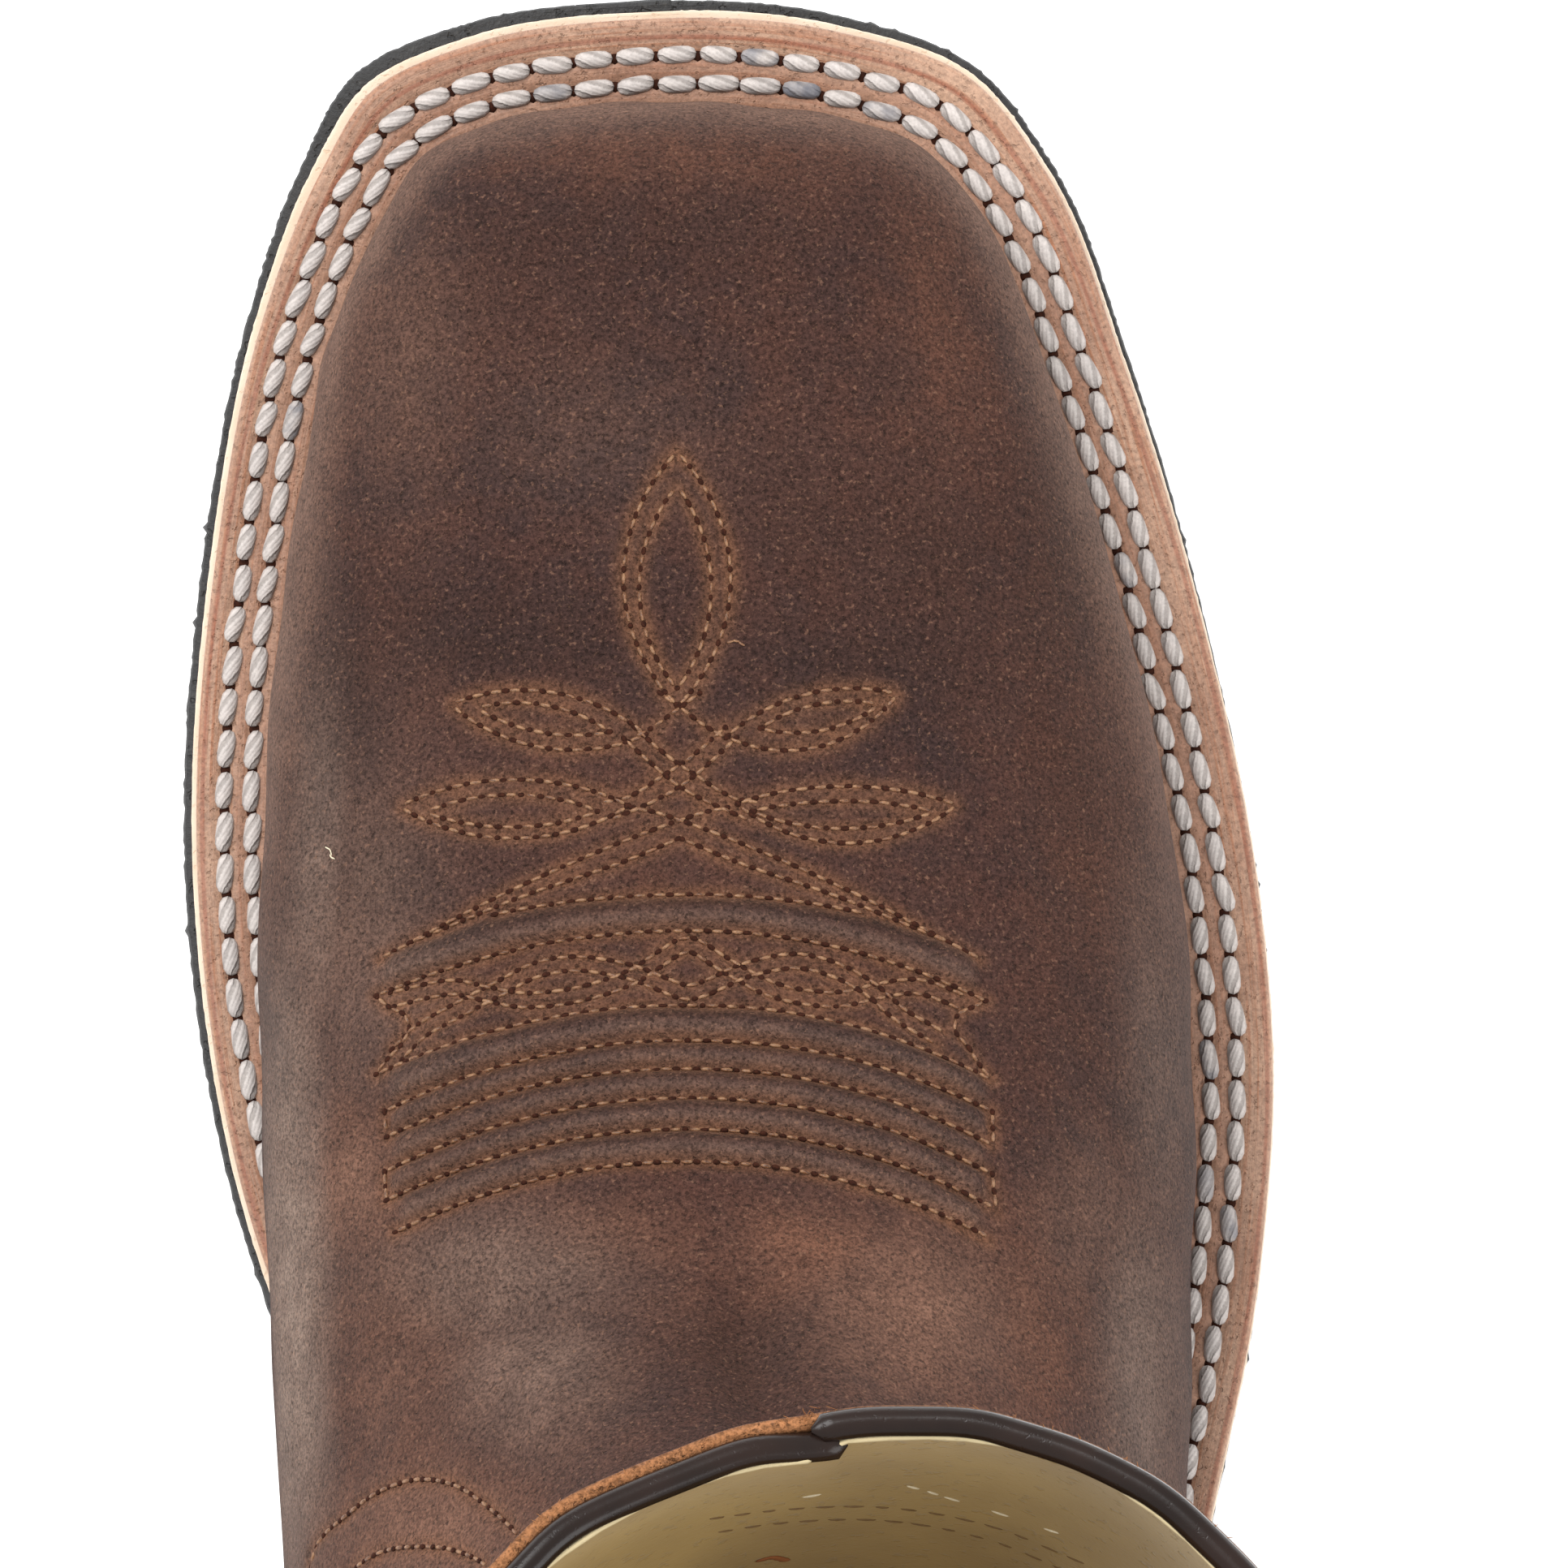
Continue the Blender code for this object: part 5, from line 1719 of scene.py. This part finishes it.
def heel_stack(levels):
    """A closed block through levels of height and extra inset, lowest first."""
    share = np.sin(np.linspace(0.0, math.pi / 2, HEEL_STATIONS + 1))
    length = edge_behind.max() - TIP - HEEL_BREAST
    medial, lateral = outline_sides(edge_behind, edge_across, HEEL_BREAST + length * share)
    middle = (medial + lateral) / 2
    half = (lateral - medial) / 2
    heights, shrinks, undercuts = zip(*HEEL_LEVELS)
    sheet = Sheet()
    loops = []
    for up, inset in levels:
        shrink = np.interp(up, heights, shrinks) + inset
        undercut = np.interp(up, heights, undercuts) + inset
        narrow = half * (1 - shrink / half.max())
        back = HEEL_BREAST + length * share * (1 - undercut / length)
        height = np.full(len(share), up)
        side = stand(np.column_stack([back, middle + narrow, height]))
        other = stand(np.column_stack([back, middle - narrow, height]))
        loops.append(sheet.add(np.vstack([side, other[::-1]])))
    sheet.stack(loops)
    return sheet


lift_height = (HEEL_HEIGHT - GAP - HEEL_CAP_HEIGHT - GAP) / LIFT_COUNT
lift_levels = [(HEEL_CAP_HEIGHT + GAP, LIFT_EDGE)]
for lift_number in range(1, LIFT_COUNT):
    joint = HEEL_CAP_HEIGHT + GAP + lift_number * lift_height
    lift_levels += [(joint - GROOVE_HALF, 0.0), (joint, LIFT_GROOVE), (joint + GROOVE_HALF, 0.0)]
lift_levels.append((HEEL_HEIGHT - GAP, SEAT_EDGE))
print("lifts", round(lift_height, 2), "mm high")

# %% Heel materials
HEEL_DARK = paint(34, 22, 18)
HEEL_LIGHT = paint(58, 38, 29)
HEEL_PIT = paint(30, 20, 17)
FIBRE_STRETCH = (60.0, 60.0, 1500.0)
HEEL_SHARP = 35.0

stacked = Finish("stacked_heel", HEEL_DARK, Roughness=0.42, Specular_IOR_Level=0.45)
tree = stacked.tree
nap = stacked.use(nap_group, Scale=900.0, Cloud=60.0)
fibre = noise(tree, stretched(tree, own_place(tree), FIBRE_STRETCH), 1.0, 3.0, 0.6)
stacked.lay(HEEL_LIGHT, fibre)
stacked.lay(HEEL_PIT, nap["Pit"], 0.4)
stacked_heel = stacked.close(fibre, 0.12, 0.7)
lifts = make_piece("heel_lifts", heel_stack(lift_levels), stacked_heel, HEEL_SHARP)
cap = make_piece("heel_cap_rubber", heel_stack(CAP_LEVELS), rubber("cap_rubber"), HEEL_SHARP)
hand_over(lifts, "heel", "heel")
hand_over(cap, "heel_cap", "heel_cap")

# %% [markdown]
# ## The rolled collar
# A dark piping runs round the collar between leather and lining. It is one strip whose ends overlap at
# the front: the start lies outside, and after a full turn the end tucks in beside it. So the bead is
# a spiral: its distance inside the leather grows on the way round.

# %% Line of the collar
JOINT_RIGHT = 15.0
JOINT_BACK = 70.2
WAY_PROBE = 5

ring_right, ring_back = charted(collar_line)
joint = int(np.argmin((ring_right - JOINT_RIGHT) ** 2 + (ring_back - JOINT_BACK) ** 2))
ring = np.roll(collar_line, -joint, axis=0)
# The bead starts towards the outer side, so the line is turned round if it runs the other way
if ring[WAY_PROBE, 0] < ring[0, 0]:
    ring = np.roll(ring[::-1], 1, axis=0)
ring_out = level_normals(ring)
ring_out = np.vstack([ring_out, ring_out[:1]])
ring = np.vstack([ring, ring[:1]])
ring_run = run_along(ring)
WHOLE = ring_run[-1]


def round_collar(along, depth, up):
    """Points at distances along the collar from its joint, inside the leather's face and above its edge."""
    wrapped = np.mod(along, WHOLE)
    out = unit(read_off(wrapped, ring_run, ring_out))
    points = read_off(wrapped, ring_run, ring) - out * np.reshape(depth, (-1, 1))
    points[:, 2] += up
    return points, out


print("collar", round(WHOLE), "mm round, joint at", ring[0].round(1))

# %% Bead
BEAD_RADIUS = 1.32
BEAD_RISE = 0.75
BEAD_START_DEPTH = 1.4
BEAD_END_DEPTH = 2.4
BEAD_TURN_START = 0.35
BEAD_TURN_LENGTH = 0.5
BEAD_TUCK = 0.6
BEAD_TUCK_LENGTH = 9.0
BEAD_TUCK_DROP = 0.9
BEAD_START = -1.5
BEAD_BEYOND = 1.5
BEAD_SIDES = 14
BEAD_STATIONS = 420
BEAD_LEAST_END = 0.02


def bead_tuck(along):
    """0 along the bead and 1 at its tucked end."""
    return eased(1 - (WHOLE + BEAD_BEYOND - along) / BEAD_TUCK_LENGTH)


def bead_depth(along):
    """Depth of the bead's middle: shallow on the outer side of the foot, deeper towards its end."""
    turned = eased((along / WHOLE - BEAD_TURN_START) / BEAD_TURN_LENGTH)
    turn_in = (BEAD_END_DEPTH - BEAD_START_DEPTH) * turned
    return BEAD_START_DEPTH + turn_in + BEAD_TUCK * bead_tuck(along)


bead_along = np.linspace(BEAD_START, WHOLE + BEAD_BEYOND, BEAD_STATIONS)
bead_up = BEAD_RISE - BEAD_TUCK_DROP * bead_tuck(bead_along)
middle, out = round_collar(bead_along, bead_depth(bead_along), bead_up)
ends = np.minimum(bead_along - bead_along[0], bead_along[-1] - bead_along) / BEAD_RADIUS
radius = BEAD_RADIUS * np.sqrt(np.clip(1 - (1 - np.clip(ends, BEAD_LEAST_END, 1.0)) ** 2, 0, 1))
bead = Sheet()
bead_lines = []
for angle in np.arange(BEAD_SIDES) * 2 * math.pi / BEAD_SIDES:
    offset = out * math.cos(angle) + UP * math.sin(angle)
    bead_lines.append(bead.add(middle + offset * radius[:, None]))
bead.tube(bead_lines)
for end, way in ((0, -1), (-1, 1)):
    cap = np.array([line[end] for line in bead_lines])
    hub = bead.add(bead.points[cap].mean(0, keepdims=True))
    bead.band(cap[::way], np.repeat(hub, len(cap)))

PIPING = paint(33, 22, 18)
PIPING_DARK = paint(25, 17, 14)
piping = napped("dark_piping", PIPING, (("Mottle", 1.0, PIPING_DARK),), {"Scale": 2600.0, "Cloud": 110.0},
                0.02, 0.5, Roughness=0.26, Specular_IOR_Level=0.2)
hand_over(make_piece("collar_piping", bead, piping), "collar_bead", "collar_bead")

# %% [markdown]
# ## Fibres of the raw edge
# The cut edge of the leather beside the bead is fuzzy. Short fibres stand out of it at all angles, and a
# small tuft has come loose at the bead's joint. The stitch tree can lay these too, as very thin ovals.

# %% Raw edge fibres
FIBRE = Thread(1.2, 0.06, 0.06, segments=4, rings=3)
FIBRE_COUNT = 900
FIBRE_DEPTHS = (-0.1, 1.3)
FIBRE_RISE = 0.5
FIBRE_OUT = 0.7
FIBRE_UP = 0.4
FIBRE_SIZES = (0.4, 1.1)
TUFT_COUNT = 14
TUFT_PLACE = -1.2
TUFT_SPREAD = 0.7
TUFT_DEPTH_SPREAD = 0.3

raw_fibre = two_tone("raw_fibre", (118, 70, 40), (168, 116, 70), twist_group, "Fuzz", {"Fibre": 900.0},
                     Roughness=0.8, Specular_IOR_Level=0.2)
fibre_along = np.concatenate([
    rng.uniform(0.0, WHOLE, FIBRE_COUNT), rng.normal(TUFT_PLACE, TUFT_SPREAD, TUFT_COUNT)])
fibre_depth = np.concatenate([
    rng.uniform(*FIBRE_DEPTHS, FIBRE_COUNT), rng.normal(0.0, TUFT_DEPTH_SPREAD, TUFT_COUNT)])
fibre_places, fibre_out = round_collar(fibre_along, fibre_depth, FIBRE_RISE)
count = len(fibre_along)
fibre_way = unit(rng.normal(size=(count, 3)) + FIBRE_OUT * fibre_out + FIBRE_UP * UP)
fibre_row = {"places": fibre_places, "along": fibre_way, "off": np.tile(UP, (count, 1))}
sew("raw_edge_fibres", fibre_row, FIBRE, raw_fibre, "upper", rng.uniform(*FIBRE_SIZES, count))

# %% [markdown]
# ## The lining
# Inside, a soft beige-olive lining covers the wall from collar to toe. It is the last's own skin again,
# coarser and moved inwards by the wall's thickness, turned to face inwards. Below the front of the
# collar it leans off the wall by up to 15 mm, so that the camera sees as much of it as the photo shows.
# Its upper edge follows the bead, where its raw cut shows as a cream line.

# %% Lining
WALL = 2.2
LINING_COLUMNS = 40
LINING_SPOKES = 34
LINING_SHAFT_ROWS = 60
LINING_STEPS = table(STEP_COLUMNS, (190.0, 3.2), (293.0, 5.0))
LINING_BLEND = 16.0
LINING_INSIDE_BEAD = 1.45
LINING_RIM = table("out up", (0.1, 0.55), (0.35, 0.75), (0.65, 0.6), (0.75, -0.6))
# How far the lining leans off the wall for each millimetre below the collar, and where that ends
LEAN = 0.2
LEAN_END = 170.0
LEAN_FADE = 110.0
LEAN_TURN = 0.6
LEAN_TURN_SOFT = 0.9
LEAN_LOWEST = 100.0

shell, lining_collar, lining_foot = skin_sheet(LINING_COLUMNS, LINING_SPOKES, LINING_STEPS, LINING_SHAFT_ROWS)
shell_up = shell.points[:, 2]
lining = Sheet()
lining.points = shell.points - WALL * point_normals(shell.points, shell.corners())
lining.points[lining_foot, 2] = shell_up[lining_foot]
lining.faces = [shell.corners()[:, ::-1]]
ring_search = search_tree(ring[:-1])
for number in np.nonzero(shell_up > COLLAR_UP - LINING_BLEND - COLLAR_SIDE_LIFT)[0]:
    nearest = ring_search.find(shell.points[number])[1]
    share = eased(1 - (ring[nearest, 2] - shell_up[number]) / LINING_BLEND)
    deeper = bead_depth(ring_run[nearest]) + LINING_INSIDE_BEAD - WALL
    lining.points[number] -= ring_out[nearest] * deeper * share
below = COLLAR_UP - shell_up
loose = LEAN * np.clip(below, 0, None) * eased((LEAN_END - below) / LEAN_FADE)
front_share = eased((np.cos(turn_round_shaft(shell.points)) + LEAN_TURN) / LEAN_TURN_SOFT)
loose *= front_share * (shell_up > LEAN_LOWEST)
toward_middle = np.zeros_like(shell.points)
toward_middle[:, :2] = SHAFT_MIDDLE - shell.points[:, :2]
lining.points += unit(toward_middle) * loose[:, None]
rim_out = level_normals(shell.points[lining_collar])
rim_foot = lining.points[lining_collar]
line = lining_collar
for point in LINING_RIM:
    following = lining.add(rim_foot + rim_out * point.out + UP * point.up)
    lining.band(following, line)
    line = following
rim_count = len(lining.points) - len(shell.points)
lining.values = {"raw": np.append(np.zeros(len(shell.points)), np.ones(rim_count))}
print("lining", len(lining.points), "points,", round(loose.max(), 1), "mm off the wall at most")

# %% Lining cloth
LINING_BEIGE = paint(153, 125, 62)
LINING_OLIVE = paint(134, 107, 48)
LINING_PIT = paint(104, 86, 52)
LINING_CREAM = paint(190, 174, 136)

cloth = Finish("beige_lining", LINING_OLIVE, Roughness=0.8, Specular_IOR_Level=0.25, Sheen_Weight=0.2)
nap = cloth.use(nap_group, Scale=1100.0, Cloud=38.0)
cloth.lay(LINING_BEIGE, nap["Mottle"])
cloth.lay(LINING_PIT, nap["Pit"], 0.25)
cloth.lay(LINING_CREAM, attribute(cloth.tree, "raw"))
hand_over(make_piece("lining", lining, cloth.close(nap["Height"], 0.12, 0.6)), "insole")

# %% [markdown]
# ## Sewing on the lining
# Faint rows of brown stitches run inside the collar, with a few white ends of thread above them. They
# are charted like the toe stitch and laid on the lining by the same lines of sight. Only a share of the
# stitches shows.

# %% Lining stitches
LINING_THREAD = Thread(1.9, 0.42, 0.3)
LINING_SIZES = (0.7, 1.1)
BROWN_ROWS = [
    [(2.1, 78.6), (9.9, 77.6), (21.9, 77.4), (32.2, 79.3), (42.5, 83.4)],
    [(3.0, 80.0), (9.9, 79.0), (21.9, 78.8), (32.2, 80.8), (41.0, 84.4)],
]
WHITE_ENDS = [[(9.0, 76.8), (15.9, 75.7), (21.9, 74.9), (28.7, 76.6), (39.9, 80.2)]]

brown_thread = two_tone("brown_thread", (86, 63, 33), (118, 90, 52), twist_group, "Fuzz",
                        {"Fibre": 3000.0}, Roughness=0.7)
white_thread = two_tone("white_thread", (180, 166, 134), (220, 210, 186), twist_group, "Fuzz",
                        {"Fibre": 3000.0}, Roughness=0.6)
LINING_SEWING = table(
    "name rows pitch share material",
    ("lining_stitches", BROWN_ROWS, 2.6, 0.9, brown_thread),
    ("lining_thread_ends", WHITE_ENDS, 2.4, 0.45, white_thread),
)
lining_tree = surface_tree(lining)
for sewing in LINING_SEWING:
    row = gather([evenly(*laid(drawn(knots), lining_tree), sewing.pitch) for knots in sewing.rows])
    kept = rng.uniform(size=len(row["places"])) < sewing.share
    row = {key: value[kept] for key, value in row.items()}
    sizes = rng.uniform(*LINING_SIZES, kept.sum())
    sew(sewing.name, row, LINING_THREAD, sewing.material, "insole", sizes)

# %% [markdown]
# ## Small marks
# A rust-brown spot has soaked into the lining, a pale bit of lint lies on the leather's inner flank, and
# one thread end stands up beside the middle leaf. They are a few ovals each, laid by the same lines of
# sight.

# %% Marks
MARK_RISE = 0.05
rust_spot = two_tone("rust_spot", (120, 62, 28), (146, 92, 48), nap_group, "Mottle", {"Scale": 1600.0},
                     Roughness=0.85)
MARKS = table(
    "name thread knots pitch material ground slot",
    ("lining_spot", Thread(1.9, 1.1, 0.12), [(7.9, 82.9), (9.2, 82.6), (10.6, 82.9)], 0.9,
     rust_spot, lining_tree, "insole"),
    ("lint", Thread(0.55, 0.14, 0.14), [(-38.0, 7.6), (-37.6, 7.8), (-37.4, 8.2), (-37.5, 8.6), (-37.1, 8.8)],
     0.3, white_thread, formed_tree, "upper"),
    ("thread_end", Thread(0.8, 0.3, 0.3, 2.0), [(4.4, -14.0), (5.3, -14.2), (6.2, -13.7)], 0.55,
     tan_thread, formed_tree, "upper"),
)
for mark in MARKS:
    row = gather([evenly(*laid(drawn(mark.knots), mark.ground), mark.pitch)])
    row["places"] += MARK_RISE * row["off"]
    sew(mark.name, row, mark.thread, mark.material, mark.slot)

# %% [markdown]
# ## Insole
# The insole's solid already has the right shape, deep inside the boot, so it only gets a finish.

# %% Insole
BOARD_DARK = paint(182, 152, 112)
BOARD_LIGHT = paint(204, 176, 136)
BOARD_PIT = paint(120, 92, 62)
board = napped("insole_board", BOARD_DARK, (("Mottle", 1.0, BOARD_LIGHT), ("Pit", 0.3, BOARD_PIT)),
               {"Scale": 900.0, "Cloud": 50.0}, 0.15, 0.6, Roughness=0.8)
for material_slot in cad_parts["insole"].material_slots:
    material_slot.material = board
print("insole has", board.name)

# %% [markdown]
# ## Floor and light
# The photo has a plain white ground and soft light from all round with a little more from the toe's
# inner side. A white surrounding, two wide soft lamps and a pale floor do the same.

# %% Stage
FLOOR_SIZE = 6000.0
FLOOR_GREY = (0.93, 0.93, 0.93, 1.0)
FLOOR_GLOW = 0.25
SKY_STRENGTH = 1.05
WHITE = (1.0, 1.0, 1.0, 1.0)
LAMPS = table(
    "name watts size place", ("key_lamp", 28.0, 0.9, (-0.55, 0.75, 1.35)),
    ("side_lamp", 9.0, 0.8, (0.95, -0.6, 0.8)))

floor_sheet = Sheet()
near_side = floor_sheet.add(np.array([(-1, -1, 0), (1, -1, 0)]) * FLOOR_SIZE / 2)
far_side = floor_sheet.add(np.array([(-1, 1, 0), (1, 1, 0)]) * FLOOR_SIZE / 2)
floor_sheet.strip(far_side, near_side)
pale_floor = Finish("pale_floor", FLOOR_GREY, Roughness=0.9, Specular_IOR_Level=0.1, Emission_Color=WHITE,
                    Emission_Strength=FLOOR_GLOW).close()
floor = make_piece("floor", floor_sheet, pale_floor)

world = bpy.data.worlds.new("studio")
world.use_nodes = True
background = world.node_tree.nodes["Background"]
background.inputs["Color"].default_value = WHITE
background.inputs["Strength"].default_value = SKY_STRENGTH
scene.world = world

for lamp in LAMPS:
    light = bpy.data.lights.new(lamp.name, "AREA")
    light.energy = lamp.watts
    light.size = lamp.size
    thing = bpy.data.objects.new(lamp.name, light)
    thing.location = lamp.place
    thing.rotation_mode = "QUATERNION"
    thing.rotation_quaternion = (-Vector(lamp.place)).to_track_quat("-Z", "Y")
    scene.collection.objects.link(thing)
print("lamps", [lamp.name for lamp in LAMPS])
